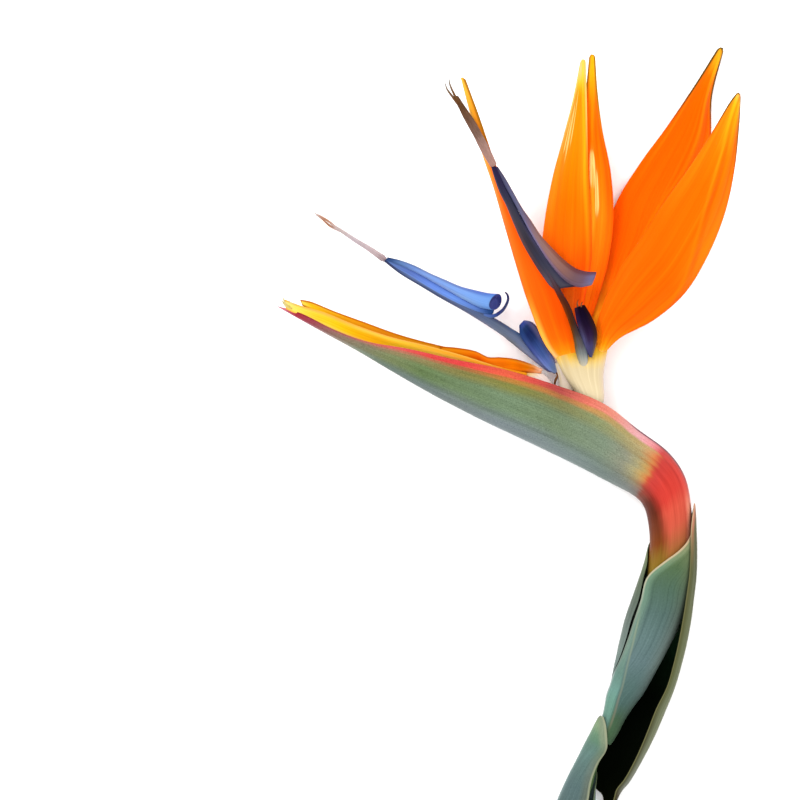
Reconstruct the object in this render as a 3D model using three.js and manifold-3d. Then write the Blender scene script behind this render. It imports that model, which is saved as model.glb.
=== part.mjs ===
// A cut bird of paradise flower (Strelitzia reginae) lying on its side.
// Millimetres. +Z is up, away from the surface that the flower lies on, and the stalk points along -Y.
// The origin is on that surface, under the middle of the flower's box. The beak points along -X.
// Two flowers are open and a third lies folded in the lips of the beak.

import * as THREE from 'three';
import { LoftGeometry } from 'three/addons/geometries/LoftGeometry.js';
import { ParametricGeometry } from 'three/addons/geometries/ParametricGeometry.js';
import { mergeGeometries, mergeVertices } from 'three/addons/utils/BufferGeometryUtils.js';
import Module from 'manifold-3d';

const wasm = await Module();
wasm.setup();

// Driving dimensions.
const SEPAL_THICKNESS = 1.0;
const SEPAL_MARGIN = 0.6; // a sepal thins to this at its edges
const BUD_BLADE = 0.8;
const SHEATH_WALL = 0.7;
const SPATHE_WALL = 1.3;
const BLUNT = 0.3; // half the least thickness of a solid's edge
const RIB_SPREAD = 0.22; // width of a sepal's midrib, as a share of half the blade

const ORANGE = 0xfb7a08;
const ORANGE_REAR = 0xf26a05;
const YELLOW = 0xf9b418;
const CREAM = 0xf2e6bc;
const BLUE = 0x5b84dd;
const SLATE = 0x3f3d5e;
const HOOD_BLUE = 0x3a4f9e;
const HOOD_BLACK = 0x2a2140;
const SPATHE_GREEN = 0x6f8c6d;
const SHEATH_GREEN = 0x6f918a;
const OLIVE = 0x6f7048;
const STEM_GREEN = 0x7c9a6c;
const FILAMENT_PINK = 0xd9bcb9;
const FILAMENT_BROWN = 0x84604a;

// Curves and easing.

const vector = ([x, y, z]) => new THREE.Vector3(x, y, z);
const path = (points) => new THREE.CatmullRomCurve3(points.map(vector), false, 'catmullrom', 0.5);
const mix = THREE.MathUtils.lerp;
const smooth = THREE.MathUtils.smoothstep;

// A number that varies along a piece: evenly spaced values joined by a smooth curve.
function varying(values) {
  const curve = new THREE.SplineCurve(values.map((value, i) => new THREE.Vector2(i, value)));
  return (t) => curve.getPoint(t).y;
}

// Solids.

// A thick leaf. surface(t, s) is its middle layer, with t along it and s from -1 to 1 across it.
// Its two faces are cut into triangles alike, so they never cross where the leaf twists.
function leaf(surface, thickness, steps, columns) {
  const step = 1e-3;
  const face = (t, s, side) => {
    const along = surface(Math.min(t + step, 1), s).sub(surface(Math.max(t - step, 0), s));
    const across = surface(t, Math.min(s + step, 1)).sub(surface(t, Math.max(s - step, -1)));
    const offset = across.cross(along).setLength((side * thickness(t, s)) / 2);
    return surface(t, s).add(offset);
  };
  const patch = (place, slices, stacks) =>
    new ParametricGeometry((u, v, target) => target.copy(place(u, v)), slices, stacks);
  const upper = patch((u, v) => face(v, 2 * u - 1, 1), columns, steps);
  const lower = patch((u, v) => face(v, 2 * u - 1, -1), columns, steps);
  lower.index.array.reverse();
  const leftEdge = patch((u, v) => face(v, -1, u > 0.5 ? 1 : -1), 1, steps);
  const rightEdge = patch((u, v) => face(v, 1, u > 0.5 ? -1 : 1), 1, steps);
  const start = patch((u, v) => face(0, 2 * u - 1, v > 0.5 ? 1 : -1), columns, 1);
  const end = patch((u, v) => face(1, 2 * u - 1, v > 0.5 ? -1 : 1), columns, 1);
  return mergeGeometries([upper, lower, leftEdge, rightEdge, start, end]);
}

// A full body between its left and right outlines, as they lie when one moves along it, seen from
// above. depth(t, s) is its half thickness.
function pod(left, right, depth, steps, columns, from = 0, to = 1) {
  const sections = [];
  for (let i = 0; i <= steps; i++) {
    const t = mix(from, to, i / steps);
    const upper = [];
    const lower = [];
    for (let j = 0; j <= columns; j++) {
      const s = -Math.cos((Math.PI * j) / columns);
      const place = left.getPoint(t).lerp(right.getPoint(t), (s + 1) / 2);
      const half = Math.max(depth(t, s), BLUNT);
      upper.push(place.clone().setZ(place.z + half));
      lower.push(place.clone().setZ(place.z - half));
    }
    sections.push([...upper, ...lower.reverse()]);
  }
  return new LoftGeometry(sections, { capStart: true, capEnd: true });
}

// The directions across and above a path that runs along the ground.
function frameAt(axis, t) {
  const along = axis.getTangent(t);
  const across = new THREE.Vector3().crossVectors(along, new THREE.Vector3(0, 0, 1)).normalize();
  return { across, above: new THREE.Vector3().crossVectors(across, along).normalize() };
}

// A round bar along a path, with its own radius across and above it.
function bar(axis, radius, steps, sides, depth = radius) {
  const sections = [];
  for (let i = 0; i <= steps; i++) {
    const t = i / steps;
    const { across, above } = frameAt(axis, t);
    const ring = [];
    for (let j = 0; j < sides; j++) {
      const angle = (-2 * Math.PI * j) / sides;
      ring.push(
        axis.getPoint(t)
          .addScaledVector(across, radius(t) * Math.cos(angle))
          .addScaledVector(above, depth(t) * Math.sin(angle)),
      );
    }
    sections.push(ring);
  }
  return new LoftGeometry(sections, { capStart: true, capEnd: true });
}

// A sheath rolled between a left and a right outline, seen from above, from one angle to another.
// 0 degrees is its right side, 90 the side away from the ground and 180 its left side.
function rolled(left, right, depth, firstAngle, lastAngle) {
  return (t, s) => {
    const angle = THREE.MathUtils.degToRad(mix(firstAngle(t), lastAngle(t), (s + 1) / 2));
    const place = left.getPoint(t).lerp(right.getPoint(t), (1 + Math.cos(angle)) / 2);
    return place.setZ(place.z + depth(t) * Math.sin(angle));
  };
}

// Joining and cutting.

function solid(geometry) {
  const bare = new THREE.BufferGeometry()
    .setAttribute('position', geometry.attributes.position)
    .setIndex(geometry.index);
  const merged = mergeVertices(bare, 1e-4);
  const mesh = new wasm.Mesh({
    numProp: 3,
    vertProperties: merged.attributes.position.array,
    triVerts: new Uint32Array(merged.index.array),
  });
  return new wasm.Manifold(mesh);
}

function geometryOf(manifold) {
  const mesh = manifold.getMesh();
  return new THREE.BufferGeometry()
    .setAttribute('position', new THREE.BufferAttribute(mesh.vertProperties, 3))
    .setIndex(new THREE.BufferAttribute(mesh.triVerts, 1));
}

const joined = (...geometries) => geometryOf(geometries.map(solid).reduce((a, b) => a.add(b)));
const cut = (body, tool) => geometryOf(solid(body).subtract(solid(tool)));

// Everything below the surface that the flower lies on, which presses a soft side flat.
function ground() {
  const size = 400;
  return new THREE.BoxGeometry(size, size, size).translate(0, 0, -size / 2);
}

const flower = new THREE.Group();

function add(name, geometry, color, roughness = 0.5) {
  const material = new THREE.MeshStandardMaterial({ color, roughness, metalness: 0 });
  const mesh = new THREE.Mesh(geometry, material);
  mesh.name = name;
  flower.add(mesh);
}

// Spathe: the folded beak, open along its red lips, and the red neck that it grows from.

const lips = path([
  [-83.5, 67.5, 14], [-74, 64.5, 13.6], [-62.5, 59, 13], [-50.5, 54.5, 12.4],
  [-35.5, 51.5, 11.8], [-19, 48, 11.2], [-1, 44.5, 10.8], [17, 39, 10.6],
  [34, 32.5, 10.6], [47.5, 22.5, 11], [57.5, 15, 11.3], [63.5, 6.5, 11.5],
  [65.3, -3.5, 11.5], [64.8, -15, 11.5], [64.2, -27.5, 11.5], [62, -38, 11.5],
]);
const keel = path([
  [-83, 67, 14], [-75, 62.5, 13.6], [-65, 57, 13], [-54, 51, 12.4],
  [-40.5, 43, 11.8], [-25.5, 34.5, 11.2], [-9, 26, 10.8], [8, 18, 10.6],
  [24.5, 10, 10.6], [37.5, 4, 11], [45.5, 0.5, 11.3], [49, -3.5, 11.5],
  [50.5, -9.5, 11.5], [51.5, -18, 11.5], [51.4, -27, 11.5], [50.5, -36.5, 11.5],
]);
const CAVITY_START = 0.13;
const CAVITY_END = 0.55;
const spatheDepth = varying([0.5, 1.7, 2.9, 4.1, 5.6, 7.2, 8.8, 10.2, 11, 10.9, 10.2, 8.7, 7.3, 7, 6.8, 6]);
const slitHalf = varying([0.2, 0.9, 1.8, 2.5, 2.7, 2.7, 3, 4.8, 5.8, 5.8, 5.8, 5.8, 5.8, 5.8, 5.8, 5.8]);

// Half depth of the spathe as a share of its greatest, from the lips (-1) to the keel (1).
function spatheSection(t, s) {
  const lip = Math.min((slitHalf(t) + SPATHE_WALL) / spatheDepth(t), 0.9);
  const side = lip + (1 - lip) * Math.cos((s * Math.PI) / 2) ** 0.75;
  const fold = (1 - s ** 2.2) ** 0.6;
  const round = Math.sqrt(Math.max(1 - s * s, 0));
  return mix(s < 0 ? side : fold, round, smooth(t, CAVITY_END - 0.02, CAVITY_END + 0.12));
}

// The space inside, a wall's thickness in from the outside and out through the lips.
function spatheCavity() {
  const reach = 1.25;
  const sections = [];
  const steps = 12;
  const columns = 12;
  for (let i = 0; i <= steps; i++) {
    const t = mix(CAVITY_START, CAVITY_END, i / steps);
    const lip = lips.getPoint(t);
    const fold = keel.getPoint(t);
    const wall = (2 * SPATHE_WALL) / lip.distanceTo(fold);
    const upper = [];
    const lower = [];
    for (let j = 0; j <= columns; j++) {
      const s = mix(-reach, 1 - wall, 0.5 - 0.5 * Math.cos((Math.PI * j) / columns));
      const inside = s < -1 ? slitHalf(t) : spatheDepth(t) * spatheSection(t, s) - SPATHE_WALL;
      const half = Math.max(inside, BLUNT);
      const place = lip.clone().lerp(fold, (s + 1) / 2);
      upper.push(place.clone().setZ(place.z + half));
      lower.push(place.clone().setZ(place.z - half));
    }
    sections.push([...upper, ...lower.reverse()]);
  }
  return new LoftGeometry(sections, { capStart: true, capEnd: true });
}

const spatheBody = pod(lips, keel, (t, s) => spatheDepth(t) * spatheSection(t, s), 34, 14);
add('spathe', cut(cut(spatheBody, spatheCavity()), ground()), SPATHE_GREEN, 0.45);

// Stem: the stalk inside the sheaths, down to its cut end.

const stemAxis = path([
  [53.8, -40.4, 11.3], [49.8, -51.4, 11.2], [45.8, -63.2, 10.9], [41.6, -73, 10.5],
  [37.8, -81.6, 10], [33.7, -89.7, 9.5], [29.6, -96.8, 8.8], [26, -106.6, 8],
  [21.6, -118.4, 7.2], [15.4, -135, 6.1], [8.4, -159.2, 5.2],
]);
const stemRadius = varying([5.6, 5.6, 4.8, 3.6, 2.5, 2.4, 3.2, 4, 4.8, 5.3, 5.5]);
add('stem', cut(bar(stemAxis, stemRadius, 20, 14), ground()), STEM_GREEN, 0.5);

// Upper sheath: a bract rolled round the neck and the stalk, open along its left side. Its front flap
// is cut away to a point at the top right.

const upperSheath = rolled(
  path([
    [30.8, -87.9, 9.6], [33, -84.2, 9.9], [34.6, -78.2, 10.2], [35.6, -72.6, 10.5],
    [37, -68.4, 10.7], [38.8, -60.8, 11], [40.4, -53.2, 11.2], [42.4, -45.2, 11.3],
    [45, -37.6, 11.4], [47.6, -30.2, 11.4], [49.5, -24.2, 11.5], [50.4, -19.4, 11.5],
    [50.4, -14.8, 11.5], [50.2, -10.4, 11.5], [50, -7.6, 11.5],
  ]),
  path([
    [36.6, -90.8, 9.6], [39.2, -87, 9.9], [42.2, -81.6, 10.2], [45.8, -76.6, 10.5],
    [48.4, -73.4, 10.7], [52.6, -65.6, 11], [56.6, -57.6, 11.2], [60.2, -50, 11.3],
    [62.8, -42.4, 11.4], [64.4, -34.2, 11.4], [65.6, -26.6, 11.5], [66.2, -20.6, 11.5],
    [66.1, -15, 11.5], [66, -10.4, 11.5], [66, -7.2, 11.5],
  ]),
  varying([3.4, 3.5, 4.2, 5.2, 5.9, 6.8, 7.7, 8.1, 8.2, 8.1, 8.2, 8.4, 8.5, 8.5, 8.4]),
  varying([190, 190, 190, 190, 182, 150, 137, 134, 132, 134, 108, 68, 32, 14, 4]),
  varying([-163, -163, -163, -164, -172, -206, -218, -213, -211, -201, -198, -174, -122, -62, -6]),
);
add('upper_sheath', leaf(upperSheath, () => SHEATH_WALL, 32, 14), SHEATH_GREEN, 0.5);

// Split sheath: an older bract that has come away from the stalk on the right, hollow side up. A narrow
// strip still joins it to the stalk below.

const splitSheath = rolled(
  path([
    [21.8, -138.2, 5.6], [26.2, -130.6, 5.2], [30.6, -123.4, 4.8], [33.6, -116.2, 4.8],
    [35.6, -109.4, 4.6], [32, -105, 3.6], [29.8, -99, 5], [31.8, -89.2, 8], [35, -80.2, 9.8],
    [37.8, -71.8, 10.5], [40, -64.6, 10.7], [41.8, -57.2, 10.8], [43.4, -50.6, 10.9],
    [44.6, -42.8, 11], [46.4, -35.8, 11.2], [47.8, -27.8, 11.4], [48.8, -20.8, 11.5],
    [48.8, -13.4, 11.5], [48.8, -8, 11.5], [48.6, -3.6, 11.5],
  ]),
  path([
    [24.8, -140, 5.6], [29.2, -132.8, 5.2], [33.8, -125.6, 4.8], [36.4, -117.8, 4.8],
    [38.4, -110.8, 5.4], [40.4, -107, 6.6], [43.8, -103.6, 8], [48, -96.4, 9.6],
    [52.4, -87.8, 10.2], [56.2, -79, 10.5], [59.6, -70.6, 10.7], [62, -62.6, 10.8],
    [64, -54.6, 10.9], [65.6, -46.2, 11], [66.6, -38.4, 11.2], [67.6, -29.6, 11.4],
    [67.8, -21.2, 11.5], [67.6, -13.4, 11.5], [67.4, -8, 11.5], [67.1, -3.6, 11.5],
  ]),
  varying([1.4, 1.4, 1.2, 1.2, 2, 4, 5.6, 7, 7.6, 8.3, 9, 9.4, 9.7, 9.8, 9.8, 9.8, 9.7, 9.6, 9.4, 8.9]),
  varying([60, 60, 60, 60, 55, 50, 42, 42, 46, 48, 42, 42, 43, 43, 42, 41, 40, 36, 26, 10]),
  varying([-160, -160, -160, -160, -160, -165, -150, -132, -120, -116, -120, -120, -118, -114,
    -108, -98, -80, -58, -30, -8]),
);
add('split_sheath', leaf(splitSheath, () => SHEATH_WALL, 34, 10), OLIVE, 0.6);

// Lower sheath: an older bract clasping the stalk below, open down its right side.

const lowerSheath = rolled(
  path([
    [11.8, -126.8, 6.6], [15.2, -117.8, 7.1], [18.8, -108.8, 7.7], [22.2, -101.4, 8.4],
    [25.6, -94.8, 8.9], [28.2, -89.6, 9.3], [30, -86.2, 9.6], [32, -81.9, 9.9], [32.9, -79.8, 10.1],
  ]),
  path([
    [23.8, -130.4, 6.6], [27.2, -121.6, 7.1], [30.8, -113.4, 7.7], [31.6, -105.2, 8.4],
    [33.6, -98.4, 8.9], [36, -93.8, 9.3], [38.8, -90.8, 9.6], [40.6, -86.4, 9.9], [41.2, -84.3, 10.1],
  ]),
  varying([6, 6, 6, 4.9, 4.5, 4.5, 4.7, 4.9, 5.2]),
  varying([400, 398, 388, 366, 300, 256, 222, 184, 152]),
  varying([56, 54, 52, 50, 48, 40, 72, 104, 130]),
);
add('lower_sheath', leaf(lowerSheath, () => SHEATH_WALL, 20, 14), SHEATH_GREEN, 0.5);

// Flower bases: the pale tubes that carry the open flowers out between the lips.

function base(name, left, right, depths) {
  const depth = varying(depths);
  const round = (t, s) => depth(t) * Math.sqrt(Math.max(1 - s * s, 0));
  add(name, pod(path(left), path(right), round, 10, 6), CREAM, 0.45);
}

base(
  'first_base',
  [[14.5, 16.8, 9.2], [15.5, 25, 9], [17.5, 33.5, 8.6], [18.5, 38, 8], [18, 41.5, 7.2], [17.5, 44, 6.6]],
  [[19.6, 15.8, 9.2], [21, 25, 9], [23.5, 33.5, 8.6], [24, 37.5, 8], [23, 41.5, 7.2], [22, 44.2, 6.6]],
  [2.2, 2.5, 2.6, 2.3, 1.9, 1.7],
);
base(
  'second_base',
  [[22.6, 13.8, 11], [22.4, 21, 11.6], [23.6, 30, 12.1], [24.8, 35, 12.4], [21.5, 43, 12.7],
    [18.8, 47, 13]],
  [[27.4, 14.4, 11], [29, 21, 11.6], [32, 29, 12.1], [34.6, 33.5, 12.4], [34.2, 41.5, 12.7],
    [35.6, 50.2, 13]],
  [2.6, 3.3, 3.6, 3.7, 3.4, 2.6],
);
base(
  'third_base',
  [[8, 20.6, 10.6], [9, 28, 10.8], [9, 35.5, 10.9], [6, 39.5, 11], [2.5, 42, 11]],
  [[12.6, 19.8, 10.6], [14, 28, 10.8], [14.5, 36, 10.9], [11.5, 42, 11], [5, 44.8, 11]],
  [1.8, 2.1, 2.1, 1.8, 1.2],
);

// Sepals. Each is a blade between two outlines, arched across, with a raised midrib.

function sepal(name, { left, right, arch, rib, ribAt }, color) {
  const leftEdge = path(left);
  const rightEdge = path(right);
  const surface = (t, s) => {
    const a = leftEdge.getPoint(t);
    const b = rightEdge.getPoint(t);
    const rise = arch * a.distanceTo(b) * (1 - s * s);
    const fade = Math.sin(Math.PI * Math.min(t + 0.1, 0.9));
    const ridge = rib * fade * Math.exp(-(((s - ribAt) / RIB_SPREAD) ** 2));
    const place = a.lerp(b, (s + 1) / 2);
    return place.setZ(place.z + rise + ridge);
  };
  const thickness = (t, s) => mix(SEPAL_THICKNESS, SEPAL_MARGIN, s * s);
  add(name, leaf(surface, thickness, 16, 8), color, 0.35);
}

sepal('first_sepal_left', {
  left: [[20, 44.6, 7.2], [18, 54.5, 7.4], [14.5, 69, 8.2], [12, 83, 9.5], [13, 97, 11],
    [16, 113.5, 13], [20, 128.5, 15], [23.5, 142.4, 17.5], [26.4, 156, 20]],
  right: [[22.5, 44.6, 7.2], [25, 54.5, 7.6], [27.5, 69, 9.3], [30, 83, 12], [30, 97, 14],
    [29, 113.5, 16], [28.5, 128.5, 18], [28, 142.4, 19.5], [27.5, 156, 20.5]],
  arch: 0.1, rib: 0.4, ribAt: 0.5,
}, ORANGE);
sepal('first_sepal_right', {
  left: [[20.5, 44.8, 5], [21, 54.5, 5], [22.5, 69, 5.6], [23, 83, 7], [24, 98.5, 8.4],
    [25, 114, 10], [27, 130, 12], [28.6, 144.5, 14.5], [29.7, 158.2, 17]],
  right: [[23.5, 44.8, 5], [27, 54.5, 6], [31.8, 68, 7.4], [36, 83, 8.4], [38, 99.5, 9],
    [37, 115.5, 10], [34.2, 130.5, 12], [31.9, 144.5, 14.5], [30.9, 158, 17]],
  arch: 0.08, rib: 0.5, ribAt: 0.35,
}, ORANGE_REAR);
sepal('first_sepal_rear', {
  left: [[20, 44.8, 3.6], [18.5, 55, 2.8], [17, 69.5, 2.2], [17, 83, 2], [18, 97.5, 2],
    [20, 112, 2.2], [22, 125, 2.6], [24, 137, 3]],
  right: [[23.5, 44.8, 3.6], [26, 55, 2.8], [28.2, 69.5, 2.2], [29.6, 83, 2], [30, 97.5, 2],
    [29.4, 112, 2.2], [27.8, 125, 2.6], [25.4, 137, 3]],
  arch: 0.04, rib: 0.4, ribAt: 0,
}, ORANGE_REAR);
sepal('second_sepal_right', {
  left: [[32.5, 50.6, 13], [33, 62.5, 14], [39.5, 79.5, 16], [48, 92, 19], [56, 104.5, 22],
    [65, 116.5, 26], [73, 128, 30], [79.5, 139.5, 35], [82.2, 144, 37]],
  right: [[35.5, 51.2, 15], [41, 56.2, 15], [52.8, 62.4, 16], [64, 72.3, 18], [72.2, 86, 20],
    [78, 101, 23], [81.2, 116.5, 27], [83, 132, 32], [83.4, 143, 36]],
  arch: 0.12, rib: 0.6, ribAt: 0.35,
}, ORANGE);
sepal('second_sepal_rear', {
  left: [[31.7, 51.2, 9.4], [30.2, 63, 5.4], [32, 76, 3.6], [34.9, 89, 3], [38.9, 104.4, 3],
    [47.3, 119.4, 3.2], [56.3, 132.3, 3], [66, 147, 2.6], [75.6, 160.4, 2.2]],
  right: [[35.3, 51.2, 9.6], [45, 69.8, 6.4], [53, 82.2, 4], [60.1, 93, 2], [65.5, 103.8, 0.6],
    [69.8, 114.6, 0.4], [72.5, 127.2, 0.5], [74, 143, 1.4], [77, 160.2, 2]],
  arch: 0.1, rib: 0.5, ribAt: 0.3,
}, ORANGE_REAR);

// The second flower's left sepal is folded like a boat, keel to the left, and cradles the blue petals.
function boatSepal(name, keelPoints, edgePoints, depths, color) {
  const keelEdge = path(keelPoints);
  const openEdge = path(edgePoints);
  const depth = varying(depths);
  const surface = (t, s) => {
    const share = Math.abs(s) ** 1.6;
    const place = keelEdge.getPoint(t).lerp(openEdge.getPoint(t), share);
    return place.setZ(place.z - Math.sin((s * Math.PI) / 2) * depth(t));
  };
  const thickness = (t, s) => mix(SEPAL_THICKNESS, SEPAL_MARGIN, s * s);
  add(name, leaf(surface, thickness, 16, 10), color, 0.35);
}

boatSepal(
  'second_sepal_left',
  [[18.2, 47.5, 13.8], [12.9, 55, 14.2], [7.4, 69, 15], [3.4, 81.5, 16.5], [-1, 96.5, 18.5],
    [-4.9, 110, 20.5], [-8.8, 121.5, 23], [-12.8, 135, 26], [-16.4, 149, 29.5]],
  [[24.5, 49, 13.8], [24, 56, 14.2], [20, 69, 15], [15, 81.5, 16.5], [8, 94, 18.5],
    [0, 107.5, 20.5], [-5.4, 121, 23], [-10.6, 135, 26], [-15.1, 149, 29.5]],
  [1.3, 2, 2.8, 3.2, 3.2, 3, 2.6, 1.8, 0.9],
  ORANGE,
);

// Third flower: folded sepals lying in the lips, still in bud.

function budBlade(name, upper, lower, wave, color) {
  const top = path(upper);
  const bottom = path(lower);
  const surface = (t, s) => {
    const place = top.getPoint(t).lerp(bottom.getPoint(t), (s + 1) / 2);
    return place.setZ(place.z + wave * Math.sin(t * Math.PI * 3) * (1 - s));
  };
  add(name, leaf(surface, () => BUD_BLADE, 14, 4), color, 0.4);
}

budBlade(
  'third_sepal_near',
  [[-80.5, 69.8, 14.8], [-75, 67.6, 14.6], [-66, 65, 14.2], [-55, 60.5, 13.8], [-42.5, 56.3, 13.4],
    [-28, 52.8, 12.9], [-15.5, 49.3, 12.5], [-4.5, 46, 12.4], [2.6, 43.5, 12.4]],
  [[-79.6, 67.2, 14.8], [-74.2, 65.2, 14.6], [-64.8, 60.8, 14.2], [-54, 55, 13.8], [-42.5, 50.8, 13.4],
    [-28, 47.2, 12.9], [-15.5, 44.3, 12.5], [-4.5, 41.4, 12.4], [2, 39.6, 12.4]],
  0, YELLOW,
);
budBlade(
  'third_sepal_far',
  [[-75, 69.7, 13.2], [-70.5, 68.8, 13], [-62.5, 65.5, 12.4], [-51.5, 61.5, 11.4], [-39, 57, 10.4],
    [-26.5, 53.6, 9.7], [-12, 50.2, 9.3], [1.6, 45, 9.2]],
  [[-74, 67.4, 13.2], [-69.4, 65, 13], [-61.6, 60.4, 12.4], [-51, 54.6, 11.4], [-39, 49.8, 10.4],
    [-26.5, 46.8, 9.7], [-12, 43.6, 9.3], [1.2, 40.2, 9.2]],
  0, ORANGE,
);
budBlade(
  'third_sepal_crest',
  [[-24.5, 52.8, 11.3], [-19, 52.4, 11.1], [-12, 51.2, 11], [-7.2, 49, 11], [-3, 48.9, 11],
    [2.5, 48.3, 11], [8, 46.6, 11], [12.4, 44.6, 11]],
  [[-24, 48.6, 11.3], [-19, 46.4, 11.1], [-12, 44.6, 11], [-7, 43.6, 11], [-1.8, 44.4, 11],
    [3.4, 45.6, 11], [8, 44.4, 11], [12, 43.4, 11]],
  0.15, ORANGE,
);

// Blue petals. Two are fused into an arrow: a claw, two lobes that meet along a groove, and a barb.

function lobe(left, right, depths, steps = 10) {
  const depth = varying(depths);
  const round = (t, s) => depth(t) * Math.sqrt(Math.max(1 - s * s, 0)) ** 0.8;
  return pod(path(left), path(right), round, steps, 6);
}

const firstClaw = path([
  [16.6, 43.4, 7.6], [11.4, 46.4, 8], [5.4, 53, 8.4], [-1.8, 59, 9], [-10, 63.8, 9.8],
  [-19, 68, 10.6], [-28, 73, 11.4], [-37, 78.6, 12.2], [-45.4, 84.2, 13],
]);
const firstArrow = joined(
  bar(firstClaw, varying([0.8, 1.4, 1.7, 1.8, 1.6, 1.4, 1.3, 1.1, 0.8]), 16, 8),
  lobe(
    [[-40.7, 82.8, 13], [-34.6, 79.9, 12.8], [-28, 76.7, 12.4], [-20.9, 72.7, 12],
      [-15.5, 69.5, 11.6], [-10.8, 66.6, 11.2], [-6.5, 64.8, 11]],
    [[-44.3, 82.4, 13], [-38.2, 78.5, 12.6], [-28.1, 72.4, 12], [-20.9, 68.4, 11.4],
      [-13.7, 64.8, 10.8], [-10.1, 63.4, 10.4], [-6.5, 63.8, 10.4]],
    [0.6, 1.1, 1.5, 1.7, 1.8, 1.5, 0.8],
  ),
  lobe(
    [[-43.2, 85.3, 13], [-38.9, 84.2, 13], [-28, 79.2, 12.8], [-20.9, 76, 12.6],
      [-13.7, 73.6, 12.4], [-6.5, 72, 12.2], [-2.4, 71.6, 12]],
    [[-42.5, 82.8, 13], [-34.6, 79.4, 13], [-28, 76.1, 12.8], [-20.9, 72.1, 12.6],
      [-15.5, 68.6, 12.2], [-9, 65.6, 12], [-3.8, 66, 12]],
    [0.6, 1.1, 1.6, 2, 2.3, 2.5, 2.2],
  ),
  bar(
    path([[-9, 64.8, 11.4], [-5, 64.6, 11.6], [-1.6, 66.2, 11.8], [0.2, 69.2, 12], [-0.8, 72.2, 12]]),
    varying([0.7, 0.7, 0.6, 0.5, 0.35]), 8, 6,
  ),
);
add('first_arrow', firstArrow, BLUE, 0.4);

const secondClaw = path([
  [28, 45.8, 17.4], [26, 53, 18.4], [23.4, 59.4, 19.4], [20.6, 66.6, 20.3], [17.6, 73, 21.1],
  [13.6, 80.2, 22], [8.2, 90, 23.2], [2.8, 100, 24.6], [-1.8, 109.8, 26], [-5, 117.4, 27],
]);
const secondArrow = joined(
  bar(secondClaw, varying([0.7, 1.5, 1.6, 1.5, 1.5, 1.5, 1.5, 1.5, 1.3, 1]), 16, 8),
  lobe(
    [[-3.2, 115, 27], [0.4, 108, 26.4], [4.3, 100.8, 25.6], [7.9, 94.7, 24.8], [11.5, 88.6, 24],
      [15.5, 82.4, 23], [18.7, 77.4, 22], [19.6, 71.8, 21]],
    [[-6.9, 117.8, 27], [-4.6, 110.7, 26.2], [-2.4, 103.4, 25.4], [1.5, 96.2, 24.6], [5, 89.6, 23.8],
      [8.4, 83.6, 23], [12.4, 77, 22], [16.6, 71.2, 21]],
    [0.8, 1.5, 1.8, 2, 2.1, 2.1, 1.6, 0.7],
  ),
  lobe(
    [[-2.2, 116.4, 27], [5.4, 103, 25.8], [13.3, 90.7, 24.2], [18, 85.7, 23], [23, 81.4, 22],
      [27.7, 79.9, 21.2], [32, 79.2, 20.6]],
    [[-3.6, 115.4, 27], [4, 100.8, 25.6], [11, 88.6, 24], [14.8, 81.7, 22.6], [18.7, 76.7, 21.6],
      [24, 74, 20.8], [29.5, 74.9, 20.4]],
    [0.6, 1.1, 1.7, 2.1, 2.3, 2.1, 1.4],
  ),
);
add('second_arrow', secondArrow, SLATE, 0.4);

// The third petal of each flower is a short hood at the foot of the arrow.

add('first_hood', lobe(
  [[7, 62.2, 12.8], [10.4, 59, 12.8], [12.6, 55.4, 12.4], [14.6, 51.2, 11.6], [17.2, 46, 9.6]],
  [[4, 59.8, 12.8], [4.8, 55.2, 12.8], [7.6, 51.2, 12.4], [11.4, 47.2, 11.6], [16, 44.4, 9.6]],
  [1, 1.9, 2, 1.6, 0.7], 8,
), HOOD_BLUE, 0.4);
add('second_hood', lobe(
  [[27.7, 67.8, 22.2], [30.2, 64, 22.1], [31.9, 58, 21.4], [31.8, 53.2, 19.2], [31, 48.8, 16.5]],
  [[24, 66.8, 22.2], [24.8, 61.4, 22.1], [26.5, 56.2, 21.4], [28.8, 52, 19.2], [30, 48.2, 16.5]],
  [1, 1.9, 2.1, 1.7, 0.7], 8,
), HOOD_BLACK, 0.4);

// Stamens and style leave the arrow's tip as one bundle and part into threads at the end.

function filaments(name, stalk, radii, threads, color) {
  const bundle = bar(path(stalk), varying(radii), 8, 6);
  const ends = threads.map((points) => bar(path(points), varying([0.5, 0.5, 0.4, 0.3]), 6, 5));
  add(name, joined(bundle, ...ends), color, 0.7);
}

filaments(
  'first_stigma',
  [[-45.8, 84.5, 13.1], [-51, 88.7, 13.6], [-56.5, 91.9, 13.9], [-61, 94.6, 14.2]],
  [0.9, 1, 0.85, 0.7],
  [
    [[-59.5, 93.9, 14], [-63, 96.3, 14.6], [-66.5, 98.7, 15.4], [-69.5, 101, 16]],
    [[-59.5, 93.5, 13.9], [-62.6, 95, 13.8], [-66, 97.2, 13.4], [-69.3, 99.6, 13]],
  ],
  FILAMENT_PINK,
);
filaments(
  'second_stigma',
  [[-5.6, 119, 27.4], [-8.4, 124, 28], [-12.2, 130.8, 29], [-16, 137.6, 30], [-19, 142, 30.8]],
  [1.3, 1.5, 1.5, 1.4, 1],
  [
    [[-17.5, 139.8, 30.4], [-19.2, 142.8, 31], [-20.4, 145.6, 31.8], [-21, 148.4, 32.6]],
    [[-17.8, 139.4, 30.4], [-20, 142.2, 30.8], [-21.8, 144.6, 31], [-22.9, 147, 31]],
  ],
  FILAMENT_BROWN,
);

export default flower;
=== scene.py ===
# %% [markdown]
# # A cut bird of paradise flower, dressed in Blender
#
# The flower lies on its side. A folded green beak (the spathe) turns through a red bend into the stalk,
# which three rolled bracts wrap. Two open flowers stand out of the beak's lips, each with orange sepals
# and a blue arrow, and the sepals of a third lie folded along the lips. The solids come in as a fixed
# frame, and each is replaced here by a fine skin that follows the same lines.

import math

import bmesh
import bpy
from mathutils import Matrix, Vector, noise


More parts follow.
